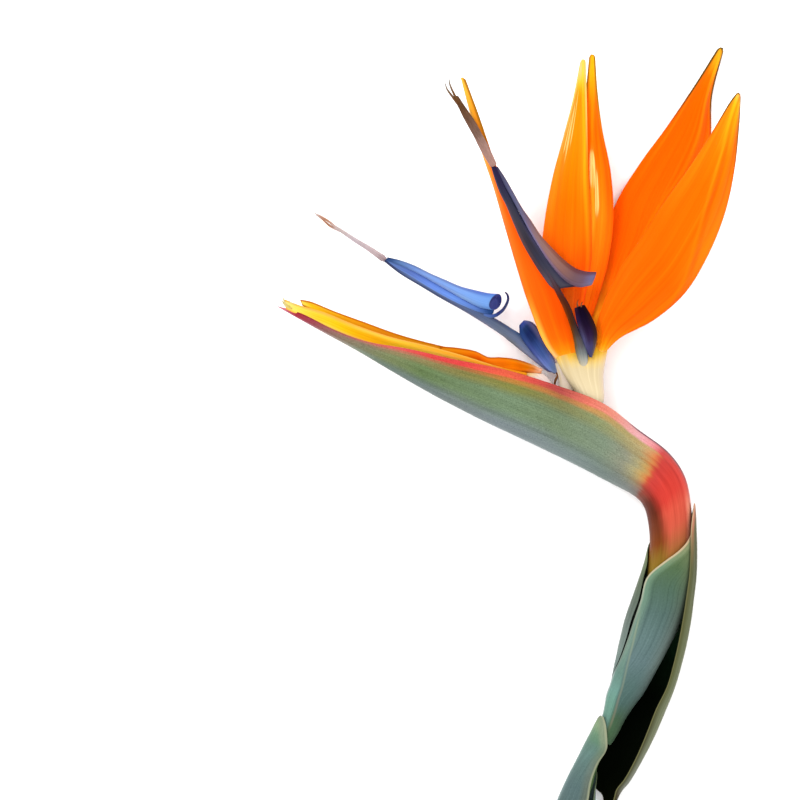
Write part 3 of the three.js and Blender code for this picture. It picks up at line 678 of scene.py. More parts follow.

# %% [markdown]
# The split sheath is seen from its front edge, half outside and half inside. The outside and the hollow are
# two finishes on one sheet: the Solidify modifier gives its inner face the second one. That one is painted
# shade, near black, for the deep shadow inside the rolled sheath.

# %% The split sheath's lines
split_lines = (
    line(
        (21.8, -138.2, 5.6), (26.2, -130.6, 5.2), (30.6, -123.4, 4.8), (33, -116.2, 4.8),
        (34.2, -109.4, 4.6), (30.2, -105, 3.6), (28.8, -99, 5), (31.8, -89.2, 8), (35, -80.2, 9.8),
        (37.8, -71.8, 10.5), (40, -64.6, 10.7), (41.8, -57.2, 10.8), (43.4, -50.6, 10.9),
        (44.6, -42.8, 11), (46.4, -35.8, 11.2), (47.8, -27.8, 11.4), (48.8, -20.8, 11.5),
        (48.8, -13.4, 11.5), (48.8, -8, 11.5), (48.6, -3.6, 11.5)
    ),
    line(
        (24.8, -140, 5.6), (29.2, -132.8, 5.2), (33.8, -125.6, 4.8), (36.4, -117.8, 4.8),
        (39, -110.8, 5.4), (41, -107, 6.6), (43.8, -103.6, 8), (48, -96.4, 9.6),
        (52.4, -87.8, 10.2), (56.2, -79, 10.5), (59.6, -70.6, 10.7), (62, -62.6, 10.8),
        (64, -54.6, 10.9), (65.6, -46.2, 11), (66.6, -38.4, 11.2), (67.6, -29.6, 11.4),
        (67.8, -21.2, 11.5), (67.6, -13.4, 11.5), (67.4, -8, 11.5), (67.1, -3.6, 11.5)
    ),
    sizes(1.4, 1.4, 1.2, 1.2, 2, 4, 5.6, 7, 7.6, 8.3, 9, 9.4, 9.7, 9.8, 9.8, 9.8, 9.7, 9.6, 9.4, 8.9),
    numbers(60, 60, 60, 60, 55, 50, 42, 42, 46, 48, 42, 42, 43, 43, 42, 41, 40, 36, 26, 10),
    numbers(
        -160, -160, -160, -160, -160, -165, -150, -132, -120, -116, -120, -120, -118, -114, -108, -98,
        -80, -58, -30, -8
    ),
)

# %% The split sheath's finishes
skin = Finish("split_sheath_skin")
front = skin.mark("from_front")
place = skin.running(30, 0.05)
inner = skin.shades(
    place, "20 #3a3018, 30 #585840, 42 #525238, 54 #646840, 70 #5f603a, 80 #6a6c44, 86 #a08058, 91 #e09070")
outer = skin.shades(
    place, "20 #5a543e, 30 #85897a, 42 #7e8466, 54 #757c5a, 70 #6e744f, 80 #676b4c, 90 #6f6e4a, 96 #94725a")
body = skin.mix(skin.step(front, 0.4, 2.6), inner, outer)
streaks = skin.grain(60, 3, detail=4)
body = skin.veins(body, streaks, 0.3, 0.35)
margin = skin.shades(skin.along, "84 #77764e, 89 #c0a47c, 94 #e8c09a")
body = skin.mix(skin.step(front, 0.6, 0.2), body, margin)
skin.colour(body)
skin.relief(streaks, 0.06, 0.5, 0.75)

# Painted shade: the hollow's finish is near black for the deep shadow inside it, and greener towards the top.
hollow = Finish("split_sheath_hollow_shade")
hollow_shade_row = "20 #0a0d02, 35 #040602, 50 #030903, 58 #0e2410, 64 #244a2e, 70 #4a6c44"
hollow_painted_shade = hollow.shades(hollow.along, hollow_shade_row)
hollow_fibres = hollow.all(hollow.grain(40, 3, detail=4), 0.4)
hollow.colour(hollow.mix(hollow_fibres, hollow_painted_shade, "#0a1408"))
hollow.relief(hollow.grain(60, 3), 0.05, 0.7, 0.95)

# %% Make the split sheath
split = lay(rolled(*split_lines), 110, 44, marks=sheath_marks(*split_lines))
show("split_sheath_skin", split, "split_sheath", "split_sheath", skin.material, hollow.material, wall=SHEATH_WALL)

# %% [markdown]
# The lowest sheath is older. It goes more than once round the stalk, and dries to brown at its tip.

# %% The lower sheath's lines
lower_lines = (
    line(
        (11.8, -126.8, 6.6), (15.2, -117.8, 7.1), (18.8, -108.8, 7.7), (22.2, -101.4, 8.4),
        (25.6, -94.8, 8.9), (28.2, -89.6, 9.3), (30, -86.2, 9.6), (32, -81.9, 9.9), (32.9, -79.8, 10.1)
    ),
    line(
        (23.8, -130.4, 6.6), (27.2, -121.6, 7.1), (30.8, -113.4, 7.7), (31.6, -105.2, 8.4),
        (33.6, -98.4, 8.9), (36, -93.8, 9.3), (38.8, -90.8, 9.6), (40.6, -86.4, 9.9),
        (41.2, -84.3, 10.1)
    ),
    sizes(6, 6, 6, 4.9, 4.5, 4.5, 4.7, 4.9, 5.2),
    numbers(400, 398, 388, 366, 300, 256, 222, 184, 152),
    numbers(56, 54, 52, 50, 48, 40, 72, 104, 130),
)

# %% The lower sheath's finish
skin = Finish("lower_sheath_skin")
back = skin.mark("from_back")
front = skin.mark("from_front")
place = skin.running(40, 0.05)
body = skin.shades(
    place, "20 #5f7574, 32 #607878, 42 #66807c, 54 #6c8b84, 62 #6b8b7e, 68 #6c9078, 76 #74977a, "
    "84 #92ac84, 90 #849e70, 95 #7c7448, 98 #7a5a34")
left_side = skin.shades(place, "30 #7d9896, 50 #86a69e, 70 #80a08e, 85 #94ac88")
body = skin.mix(skin.step(skin.mark("angle"), 140, 178), body, left_side)
margin_side = skin.shades(place, "30 #6d796d, 45 #74847a, 60 #7c9078, 72 #90a084, 85 #90a084")
body = skin.mix(skin.step(back, 4.5, 1.5), body, margin_side)
streaks = skin.grain(90, 3, detail=4)
body = skin.veins(body, streaks, 0.2, 0.25)
body = skin.veins(body, skin.speckle(0.6, 3.0), 0.1, 0.12)
body = skin.mix(skin.step(back, 1.4, 0.5), body, "#a9af90")
body = skin.mix(skin.step(front, 1.2, 0.3), body, "#7c8a6a")
skin.colour(body)
skin.relief(streaks, 0.05)

# %% Make the lower sheath
lower = lay(rolled(*lower_lines), 60, 50, marks=sheath_marks(*lower_lines))
show("lower_sheath_skin", lower, "lower_sheath", "sheath", skin.material, wall=SHEATH_WALL)

# %% [markdown]
# ## Flower bases
#
# A pale tube carries each open flower out between the lips, and a third, pinkish one belongs to the bud.
# They are full bodies between a left and a right outline, closed round. The second one runs on under the feet
# of its sepals and turns yellow there, so that the two grow together.


# %% Full bodies
def pod(left, right, depth, slant=0.0):
    """A place on a full body between two outlines: across 0 is its left side, 0.25 its near side.
    A slanting end is cut back on the near side by a share of the length."""

    def place(t, across):
        angle = math.pi * (1 - 2 * across)
        t *= 1 - slant * (1 + math.sin(angle)) / 2
        point = left(t).lerp(right(t), (1 + math.cos(angle)) / 2)
        point.z += depth(t) * math.sin(angle)
        return point

    return place


# %% The bases' finish
def paint_base(skin, row):
    """Cream with fine fibres, a paler outer side and a stripe of painted shade near its left side."""
    side = skin.math("PINGPONG", skin.across, 0.5)
    body = skin.shades(skin.running(30, 0.08), row)
    pale_side = skin.all(skin.step(side, 0.36, 0.5), skin.step(skin.along, 0.86, 0.74))
    body = skin.mix(skin.all(pale_side, 0.7), body, "#fbe6da")
    # Painted shade: a darker stripe near the left side of the upper part, for the shade of a fold.
    fold = skin.all(skin.stripe(side, 0.13, 0.09), skin.step(skin.along, 0.55, 0.8))
    body = skin.mix(skin.all(fold, 0.6), body, "#dcc48c")
    fibres = skin.grain(36, 1.5, detail=3)
    body = skin.veins(body, fibres, 0.35, 0.12)
    skin.colour(body)
    skin.relief(fibres, 0.08)
    return skin.material


# These lifts are painted light: they keep the pale bases bright in the shade that the lips and sepals cast.
PALE_LIFT = (1.3, 1.28, 1.28)
CREAM_LIFT = (1.12, 1.08, 1.04)
cream = paint_base(
    Finish("cream_base", lift=CREAM_LIFT),
    "0 #fbeec4, 50 #faeac2, 65 #eddcb2, 71 #ead8ac, 75 #f2d894, "
    "78.5 #fad06c, 82 #fac440, 86 #fab428, 92 #fca01c")
tan = paint_base(Finish("tan_base", lift=PALE_LIFT), "0 #f4e4c4, 60 #efdcc4, 80 #e8d6c4, 95 #efe2d2")
blush = paint_base(
    Finish("blush_base", lift=PALE_LIFT),
    "0 #fbd8cc, 60 #ffe8e4, 72 #ffe8dc, 85 #fbd08c, 95 #ffae20")

# %% Make the bases
base_finishes = {"first_base": tan, "second_base": cream, "third_base": blush}
bases = {
    "first_base": (
        line(
            (14.5, 16.8, 9.2), (15.5, 25, 9.6), (17.5, 33.5, 10), (18.2, 38, 10), (17.8, 42.5, 9.8),
            (16.4, 47, 9.6)
        ),
        line(
            (19.6, 15.8, 9.2), (21, 25, 9.6), (23.5, 33.5, 10), (24, 37.5, 10), (23, 42.5, 9.8),
            (21.6, 47, 9.6)
        ),
        sizes(2.2, 2.5, 2.6, 2.3, 1.9, 1.7),
    ),
    "second_base": (
        line(
            (22.6, 13.8, 11), (22.4, 21, 11.6), (23.6, 30, 12.1), (24.5, 35.3, 12.4), (19.8, 42.8, 12.7),
            (16.6, 50, 12.7), (16.8, 54.6, 11.8)
        ),
        line(
            (27.4, 14.4, 11), (29, 21, 11.6), (32, 29, 12.1), (34.6, 33.5, 12.4), (34.4, 42.1, 12.7),
            (35.8, 51, 12.7), (36.4, 55.2, 11.8)
        ),
        sizes(2.6, 3.3, 3.6, 3.7, 3.4, 2.1, 0.9),
    ),
    "third_base": (
        line(
            (8, 20.6, 10.6), (9, 28, 10.6), (9, 35.5, 10.3), (6, 39.5, 10), (2.5, 42, 9.8)
        ),
        line(
            (12.6, 19.8, 10.6), (14.4, 28, 10.6), (16.4, 37.6, 10.3), (12.3, 43.4, 10), (5.5, 45, 9.8)
        ),
        sizes(1.8, 1.9, 1.9, 1.6, 1),
    ),
}
for name, lines in bases.items():
    show(name + "_skin", lay(pod(*lines), 40, 32, closed=True), name, "flower_base", base_finishes[name])

# %% [markdown]
# ## Sepals
#
# A sepal is a long waxy blade between two outlines. It is arched across, a midrib stands up along it, and
# shallow pleats run from end to end. Its rows lie closer together at both ends, where the outline turns.

# %% The sepal's shape
SEPAL_WALL = 0.9 * MM
RIB_SPREAD = 0.09
PLEAT, SWELL = 0.05, 0.35


def gather(t, share=0.012):
    """How far a blade's two sides are drawn together at its rounded ends."""
    near = min(t, 1 - t) / share
    return math.sqrt(max(1 - (1 - near) ** 2, 0.03)) if near < 1 else 1.0


def rows(t):
    """Places the rows of a grid closer together at both ends of a blade."""
    return mix(t, (1 - math.cos(math.pi * t)) / 2, 0.75)


def sepal(left, right, arch, rib, rib_at, seed):
    """A place on an arched blade. The midrib is rib high, and runs where rib_at says, from 0 to 1 across."""

    def place(row, across):
        t, s = rows(row), 2 * across - 1
        a, b = left(t), right(t)
        middle, closeness = (a + b) / 2, gather(t)
        a, b = middle.lerp(a, closeness), middle.lerp(b, closeness)
        width = (b - a).length
        fade = math.sin(math.pi * min(t + 0.1, 0.9))
        point = a.lerp(b, across)
        ridge = rib * fade * math.exp(-(((across - rib_at(t)) / RIB_SPREAD) ** 2))
        pleats = PLEAT * fade * math.cos(s * 17 + seed)
        swell = SWELL * fade * noise.noise(Vector((s * 1.6, t * 4, seed)))
        edge = 1 - abs(s) ** 6
        point.z += arch * width * (1 - s * s) + (ridge + (pleats + swell) * edge) * MM
        return point

    return place


def thin_edge(t, s):
    """A blade's wall thins towards its edges."""
    return mix(0.45, 1.0, smooth(0, 0.3, min(s, 1 - s)))


def blade_marks(left, right, rib_at=numbers(0.5, 0.5)):
    """Millimetres from a blade's nearest edge and, with a sign, from its midrib, and its wall."""

    def width(t):
        return (right(t) - left(t)).length

    return {
        "from_edge": lambda t, s: width(rows(t)) * gather(rows(t)) * min(s, 1 - s) / MM,
        "from_rib": lambda t, s: width(t) * (s - rib_at(rows(t))) / MM,
        "wall": thin_edge,
    }


# %% [markdown]
# A sepal goes from cream and yellow at the foot through deep orange to a yellow tip, with one row of shades
# along its middle and one along each side. The midrib gets a painted highlight with painted shade beside it,
# fine fibres run the whole length, and glints of painted highlight lie along a few lines. Near the tip the edge
# darkens to a thin olive rim. Red is lifted, since sunlit orange glows through the blade.


# %% The sepal's finish
def sepal_finish(name, middle, left, right, rib, painted_glints=(), rim="#98801c", ridge=(2.2, 0.28, 0.5)):
    """Orange with fibres, and a painted highlight along the midrib with painted shade beside it. middle, left,
    right and rib are rows of shades, rib for the midrib's highlight. The list of glints gives the (across,
    width, start, end) of each line of painted highlight, and ridge is the width of the midrib's highlight, its
    start and where it is full."""
    skin = Finish(name, lift=(1.7, 1.0, 1.0))
    place = skin.running(26, 0.09)
    body = skin.sided(place, skin.across, middle, left, right, (0.42, 0.04), (0.58, 0.96))
    from_rib = skin.mark("from_rib")
    broad = skin.grain(9, 1.1, detail=2)
    body = skin.mix(skin.all(skin.step(broad, 0.5, 0.72), 0.35), body, "#ff9a10")
    body = skin.mix(skin.all(skin.step(broad, 0.5, 0.28), 0.35), body, "#ee5a00")
    # Painted shade on one side of the midrib, then a painted highlight along the midrib itself.
    rib_painted_shade = skin.all(skin.stripe(from_rib, 1.8, 3.4), skin.step(skin.along, 0.3, 0.5))
    body = skin.mix(skin.all(rib_painted_shade, 0.4), body, "#dc6400")
    width, start, full = ridge
    rib_painted_highlight = skin.all(skin.stripe(from_rib, 0.0, width), skin.step(skin.along, start, full))
    body = skin.mix(skin.all(rib_painted_highlight, 0.9), body, skin.shades(place, rib))
    fibres = skin.grain(90, 2.2, detail=4)
    body = skin.veins(body, fibres, 0.14, 0.16)
    glint_grain = skin.grain(40, 7, detail=3, distortion=0.6)
    # Painted highlights: a soft pale-orange sheen, and crisp pale-yellow glints broken up by a stretched grain.
    for across, width, start, end in painted_glints:
        near_line = skin.stripe(skin.across, across, width)
        near_middle = skin.stripe(skin.along, (start + end) / 2, end - start)
        body = skin.mix(skin.all(near_line, near_middle, 0.4), body, "#ffc860")
        painted_glint = skin.step(skin.all(near_line, near_middle, skin.step(glint_grain, 0.4, 0.56)), 0.15, 0.42)
        body = skin.mix(painted_glint, body, "#fff48c")
    edge = skin.all(skin.step(skin.mark("from_edge"), 1.0, 0.35), skin.step(skin.along, 0.6, 0.8))
    body = skin.mix(edge, body, rim)
    skin.colour(body)
    ripples = skin.all(skin.math("ADD", fibres, skin.all(broad, 3.0)), 0.25)
    skin.relief(ripples, 0.4)
    return skin.material


def show_sepal(name, left, right, arch, rib, rib_at, seed, finish):
    blade = lay(sepal(left, right, arch, rib, rib_at, seed), 90, 40, marks=blade_marks(left, right, rib_at))
    show(name + "_blade", blade, name, "sepal", finish, wall=SEPAL_WALL)


# %% First flower's sepals
show_sepal(
    "first_sepal_left",
    line(
        (20, 44.6, 7.2), (18, 54.5, 7.4), (14.5, 69, 8.2), (12, 83, 9.5), (13, 97, 11), (16, 113.5, 13),
        (20, 128.5, 15), (23.5, 142.4, 17.5), (26.1, 156, 20)
    ),
    line(
        (22.5, 44.6, 7.2), (25, 54.5, 7.6), (27.5, 69, 9.3), (30, 83, 12), (30, 97, 14),
        (29, 113.5, 16), (28.6, 128.5, 18), (28.3, 142.4, 19.5), (27.9, 156, 20.5)
    ),
    0.1, 0.5, numbers(0.95, 0.94, 0.93, 0.92, 0.9, 0.88, 0.86, 0.76, 0.55), 1.0,
    sepal_finish(
        "first_left_orange",
        "25 #ff9a30, 36 #ff7c14, 46 #ff860c, 54 #ff8503, 62 #ff9606, 70 #fea20c, 80 #ffa80c, 83 #fcc016, "
        "86.5 #faea40, 93 #f6f4a8",
        "40 #ff9118, 50 #ff9c10, 60 #ffa71f, 70 #ffae38, 80 #f9ba3c, 85 #f6e250, 92 #f3f1b7",
        "30 #ff6612, 42 #ff6807, 52 #fd8a08, 60 #fca614, 75 #fcb81c, 83 #fcd030, 87 #faec50, 94 #faf598",
        "45 #ff8a0c, 54 #fea810, 62 #ffc418, 80 #ffd01a, 90 #fff250",
        [(0.26, 0.1, 0.58, 0.82), (0.36, 0.08, 0.62, 0.86), (0.17, 0.08, 0.62, 0.76)], "#ece878"),
)
show_sepal(
    "first_sepal_right",
    line(
        (20.5, 44.8, 5), (21, 54.5, 5.4), (22.5, 69, 7), (23, 83, 9.6), (24, 98.5, 11.6), (25, 114, 13.6),
        (26.3, 130, 15.4), (27.9, 144.5, 17), (29.2, 157.8, 18.4)
    ),
    line(
        (23.5, 44.8, 5), (27, 54.5, 6), (31.8, 68, 7.6), (36, 83, 9.2), (38, 99.5, 10.6), (37, 115.5, 12.4),
        (34, 130.5, 14.4), (32.2, 144.5, 16.4), (31.3, 157.8, 18.4)
    ),
    0.08, 0.5, numbers(0.5, 0.5, 0.5, 0.48, 0.45, 0.42, 0.5, 0.58, 0.55), 2.0,
    sepal_finish(
        "first_right_orange",
        "25 #ff8410, 40 #ff9412, 50 #ffa818, 60 #ff9008, 68 #ff8002, 76 #ff9408, 81 #ffc010, 86 #ffdc1c, "
        "95 #fae43c",
        "40 #ffa010, 54 #ffb81c, 62 #ff9a0a, 70 #ff7a02, 78 #ff7c00, 82 #ffa404, 87 #ffd414, 96 #ecd030",
        "32 #ff740a, 46 #ff7c0a, 56 #f76c04, 66 #ee7204, 76 #e6941e, 84 #f4c428, 92 #ffdc25",
        "40 #ff9812, 50 #ffc028, 58 #ffbc20, 66 #ff8806, 78 #ffb00c, 88 #ffd414",
        [(0.45, 0.24, 0.54, 0.66), (0.56, 0.2, 0.48, 0.62)], "#a08e1a"),
)
show_sepal(
    "first_sepal_rear",
    line(
        (20, 44.8, 3.6), (18.5, 55, 2.8), (17, 69.5, 2.2), (17, 83, 2), (18, 97.5, 2), (20, 112, 2.2),
        (22, 125, 2.6), (24, 137, 3)
    ),
    line(
        (23.5, 44.8, 3.6), (26, 55, 2.8), (28.2, 69.5, 2.2), (29.6, 83, 2), (30, 97.5, 2),
        (29.4, 112, 2.2), (27.8, 125, 2.6), (25.4, 137, 3)
    ),
    0.04, 0.4, numbers(0.5, 0.5), 3.0,
    sepal_finish(
        "first_rear_orange",
        "5 #fbc030, 20 #f86c10, 50 #f6640a, 80 #fb900c, 95 #f2c830",
        "10 #f87c14, 50 #f6700c, 90 #f4b820",
        "10 #f06408, 50 #f06a08, 90 #f0b41c",
        "30 #ff9410, 80 #ffc41c"),
)

# %% Second flower's broad sepals
show_sepal(
    "second_sepal_right",
    line(
        (31.2, 50.2, 13), (32.4, 62.5, 14), (39.5, 79.5, 16), (48, 92, 19), (56, 104.5, 22),
        (64.8, 116.7, 26), (72.4, 128.5, 30), (79.1, 139.8, 35), (82.2, 144, 37)
    ),
    line(
        (35.5, 51.2, 13.2), (41, 56.2, 14.9), (52.8, 62.4, 16), (64, 72.3, 18), (72.2, 86, 20),
        (78.1, 101, 23), (81.4, 116.6, 27), (82.9, 132, 32), (83.4, 143, 36)
    ),
    0.12, 0.9, numbers(1.05, 1.02, 0.98, 0.88, 0.71, 0.56, 0.475, 0.345, 0.3), 4.0,
    sepal_finish(
        "second_right_orange",
        "0 #ffe9a0, 3.6 #ffd430, 10 #ffb00e, 17 #ff860c, 24 #ff7407, 39 #fd7004, 48 #fc7804, 60 #f97a03, "
        "68 #fc8c06, 75 #ffb412, 82 #fccc14, 90 #fcdc28, 97 #e4cb58",
        "4 #ffd040, 12 #ffb014, 19 #ff900e, 30 #ff7c0a, 46 #ff7904, 60 #ff8c0a, 70 #fb920c, 76 #f49a10, "
        "82 #d29c14, 90 #d2b034",
        "4 #eaba2f, 10 #eda826, 17 #f49010, 25 #fa760e, 39 #fc7208, 50 #fb9010, 58 #f28c16, 68 #e6830e, "
        "75 #c07210, 82 #a88020, 90 #bca650",
        "40 #fc8a08, 52 #ff880a, 62 #ff980f, 70 #ffac14, 78 #ffc818, 86 #ffdc20, 95 #ffe860",
        rim="#54520c"),
)
show_sepal(
    "second_sepal_rear",
    line(
        (31.7, 51.2, 9.4), (30.2, 63, 5.4), (32, 76, 3.6), (34.9, 89, 3), (38.9, 104.4, 3),
        (47.8, 119.1, 3.2), (57.1, 131.8, 3), (67.3, 146.9, 2.6), (76, 160.8, 2.2)
    ),
    line(
        (35.3, 51.2, 9.6), (45, 69.8, 6.4), (53, 82.2, 4), (60.1, 93, 2), (65.5, 103.8, 0.6),
        (69.9, 114.6, 0.4), (73.1, 127.2, 0.5), (73.6, 143, 1.4), (78, 160.3, 2)
    ),
    0.1, 0.7, numbers(0.3, 0.35, 0.42, 0.5, 0.6, 0.68, 0.7, 0.71, 0.74), 5.0,
    sepal_finish(
        "second_rear_orange",
        "15 #ffc410, 24 #ffa008, 31 #ff8004, 40 #ff7c04, 50 #ff7c06, 60 #ff7603, 72 #f47201, 80 #ec7500, "
        "85 #ec8404, 90 #fcbc18, 95 #fcd428",
        "20 #ffce23, 28 #ffae18, 36 #ff8006, 45 #ff7303, 65 #f87604, 76 #ea7608, 84 #cc7a12, 90 #b88418, "
        "96 #b89a30",
        "40 #ff9510, 55 #ff8a06, 66 #ff7d04, 74 #e67006, 79 #d88010, 84 #f4b418, 95 #ffcc28",
        "36 #ff9010, 46 #ff9508, 60 #ff8a08, 75 #ff920f, 82 #ffa012, 87 #ffc81c, 96 #ffd830",
        rim="#4c4a0c"),
)

# %% [markdown]
# The second flower's left sepal is folded like a boat along its keel, and the dark petals lie in it. Its grid
# runs from the near edge round the keel to the far edge.

# %% Folded sepal
boat_keel = line(
    (18.2, 47.5, 12.2), (12.9, 55, 14.2), (7.4, 69, 15), (3.4, 81.5, 16.5), (-1, 96.5, 18.5),
    (-4.9, 110, 20.5), (-8.8, 121.5, 23), (-12.9, 135, 26), (-16.7, 149.4, 29.5)
)
boat_edge = line(
    (24.5, 49, 12.6), (24, 56, 14.2), (20, 69, 15), (15, 81.5, 16.5), (8, 94, 18.5), (0, 107.5, 20.5),
    (-5.4, 121, 23), (-10.2, 135, 26), (-15.3, 148.7, 29.5)
)
boat_depth = sizes(1.3, 2, 2.8, 3.2, 3.2, 3, 2.6, 1.8, 0.9)
BOAT_FOLD = 1.6


def boat_place(row, across):
    t, s = rows(row), 2 * across - 1
    point = boat_keel(t).lerp(boat_edge(t), abs(s) ** BOAT_FOLD)
    point.z -= math.sin(s * math.pi / 2) * boat_depth(t)
    return point


def boat_width(t):
    return (boat_keel(t) - boat_edge(t)).length


boat_marks = {
    "from_edge": lambda t, s: boat_width(t) * 2 * min(s, 1 - s) / MM,
    "from_rib": lambda t, s: math.copysign(boat_width(t) * abs(2 * s - 1) ** BOAT_FOLD, s - 0.5) / MM,
    "wall": thin_edge,
}
boat = lay(boat_place, 90, 40, marks=boat_marks)
boat_orange = sepal_finish(
    "second_left_orange",
    "0 #fcd070, 6 #fcc030, 10 #fcb018, 14 #fca014, 17.5 #fe8c10, 21 #fe7c0e, 30 #fe7410, 40 #ff7814, "
    "56 #fe761c, 70 #fb9624, 78 #ffc820, 86 #ffe83a, 97 #f7d73f",
    "0 #f8d080, 5 #f8c444, 10 #f2ac1c, 13 #ee9c10, 16 #ee900c, 20 #e2740a, 26 #dc6208, 34 #f4660a, 40 #fc6a0e, "
    "60 #fb7412, 74 #fdae24, 85 #fab626, 95 #efcc5c",
    "5 #ffc841, 20 #ff8010, 50 #fb7412, 80 #fdb028, 95 #efcc5c",
    "10 #fff4a0, 16 #fff070, 22 #ffe458, 29 #ffb838, 34 #ff8a20, 50 #ff8428, 80 #ffe048",
    ridge=(5.4, 0.0, 0.05),
)
show("second_sepal_left_blade", boat, "second_sepal_left", "sepal", boat_orange, wall=SEPAL_WALL)

# %% [markdown]
# ## The bud on the lips
#
# The third flower hasn't opened. Two long folded sepals lie along the lips, the near one yellow and the far
# one orange, with a crest between them near the open flowers.


# %% Bud blades
BUD_WALL = 0.8 * MM


def bud_blade(top, bottom, fold, seed):
    """A place on a narrow blade that ripples across."""

    def place(t, across):
        point = top(t).lerp(bottom(t), across)
        ripple = fold * math.sin(across * math.pi * 2.5 + seed) * smooth(0, 0.1, t)
        point.z += ripple * MM
        return point

    return place


# %% The bud's finish
def bud_finish(name, middle, top, bottom, edge_colour):
    """A row of shades along the middle, one along the top edge, one along the bottom edge, and another colour
    along both edges except near the flowers' end.
    """
    skin = Finish(name, lift=(1.3, 1.15, 1.0))
    place = skin.running(16, 0.08)
    body = skin.sided(place, skin.across, middle, top, bottom, (0.32, 0.06), (0.62, 0.9))
    fibres = skin.grain(34, 1.6, detail=4)
    body = skin.mix(skin.all(skin.step(fibres, 0.52, 0.3), 0.4), body, "#f49408")
    body = skin.veins(body, fibres, 0.2, 0.12)
    edge_band = skin.all(skin.step(skin.mark("from_edge"), 0.8, 0.2), skin.step(skin.along, 0.95, 0.8))
    body = skin.mix(edge_band, body, edge_colour)
    skin.colour(body)
    skin.relief(fibres, 0.08)
    return skin.material


# %% Make the bud
def show_bud(name, top, bottom, fold, seed, finish):
    blade = lay(bud_blade(top, bottom, fold, seed), 80, 18, marks=blade_marks(top, bottom))
    show(name + "_blade", blade, name, "bud_sepal", finish, wall=BUD_WALL)


show_bud(
    "third_sepal_near",
    line(
        (-80.5, 69.8, 14.8), (-75, 67.6, 14.6), (-66, 65, 14.2), (-55, 60.5, 13.8), (-42.5, 56.3, 13.4),
        (-28, 52.8, 12.9), (-15.5, 49.3, 12.5), (-3, 45.4, 12.4), (7, 43.2, 12.3)
    ),
    line(
        (-80, 66.2, 14.8), (-74.4, 63.4, 14.6), (-64.9, 59, 14.2), (-54, 54, 13.8),
        (-42.5, 50.4, 13.4), (-28, 47.2, 12.9), (-15.5, 44.3, 12.5), (-3, 41, 12.4), (6.2, 39, 12.3)
    ),
    0.25, 0.5,
    bud_finish(
        "bud_yellow",
        "0 #f6eca8, 4 #fff38b, 12 #fff062, 20 #ffe03c, 30 #ffd81e, 38 #ffc614, 46 #ffc018, 54 #ffd430, "
        "62 #ffd04c, 72 #ffc04c, 85 #ffb42c, 97 #ffb224",
        "8 #f8d468, 18 #fec860, 30 #f8b44c, 40 #fcca58, 52 #ffcc48, 62 #ffb02c, 75 #ffa61c, 90 #fba420",
        "6 #fbe468, 20 #ffee66, 30 #ffe262, 38 #ffc470, 46 #fda040, 60 #ffa828, 80 #ffb02c", "#f6bc50"),
)
show_bud(
    "third_sepal_far",
    line(
        (-75, 69.7, 13.2), (-70.5, 68.8, 13), (-62.5, 65.5, 12.4), (-51.5, 61.5, 11.4), (-39, 57, 10.4),
        (-26.5, 53.6, 9.7), (-12, 50.2, 9.3), (1.6, 45, 9.2)
    ),
    line(
        (-74, 67.4, 13.2), (-69.4, 65, 13), (-61.6, 60.4, 12.4), (-51, 54.6, 11.4), (-39, 49.8, 10.4),
        (-26.5, 46.8, 9.7), (-12, 43.6, 9.3), (1.2, 40.2, 9.2)
    ),
    0.2, 1.5,
    bud_finish(
        "bud_orange",
        "0 #f8e86c, 4 #ffe758, 12 #ffd01c, 20 #ffca18, 30 #ffbc18, 42 #fdae1e, 52 #fba020, 62 #fbb024, "
        "80 #fbb424, 95 #f4a01c",
        "6 #dcc64c, 16 #ecd050, 26 #f4bc30, 36 #eca418, 50 #e08c14, 70 #ec9c18, 90 #e8901c",
        "10 #ffc832, 30 #ffb830, 50 #ffbc50, 90 #ffb040", "#c06c08"),
)
show_bud(
    "third_sepal_crest",
    line(
        (-24.5, 52.8, 11.3), (-19, 52.4, 11.1), (-12, 51.2, 11), (-7.2, 49, 11), (-3, 48.9, 11),
        (2.5, 48.3, 11), (8, 46.6, 11), (12.4, 44.6, 11)
    ),
    line(
        (-24, 48.6, 11.3), (-19, 46.4, 11.1), (-12, 44.6, 11), (-7, 43.6, 11), (-1.8, 43.6, 11),
        (3.4, 43.4, 11), (8, 43.2, 11), (12, 43, 11)
    ),
    0.15, 0.0,
    bud_finish(
        "bud_crest",
        "5 #f89a14, 16 #ec8606, 26 #e66804, 33 #e45404, 40 #fc7006, 50 #ff8211, 60 #fa7c0c, 68 #ff8404, "
        "76 #ea7203, 84 #e97e06, 90 #e88a38, 97 #fbc4a8",
        "10 #da8a12, 25 #ea8614, 45 #f0841c, 60 #e67c10, 72 #d08c20, 84 #dcac58, 93 #e4b898, 98 #d8b0a8",
        "30 #f06c08, 60 #ff8410, 80 #f07808, 92 #f0a070", "#b85a08"),
)

# %% [markdown]
# ## The arrows
#
# Two of a flower's three blue petals are joined into an arrow that hides the stamens and the style. Each
# arrow is a thin claw that opens into two long vanes, which meet along a groove and end in a barb. The vanes
# are full bodies between outlines, traced from tip to barb.


# %% Outlines traced from the picture
def trace(heights, *pixels):
    """A curve through pixels of the picture, with the heights spread evenly over it."""
    last = len(pixels) - 1
    known = [seen(c, r, between(heights, i / last)) for i, (c, r) in enumerate(pixels)]
    return lambda t: between(known, t)


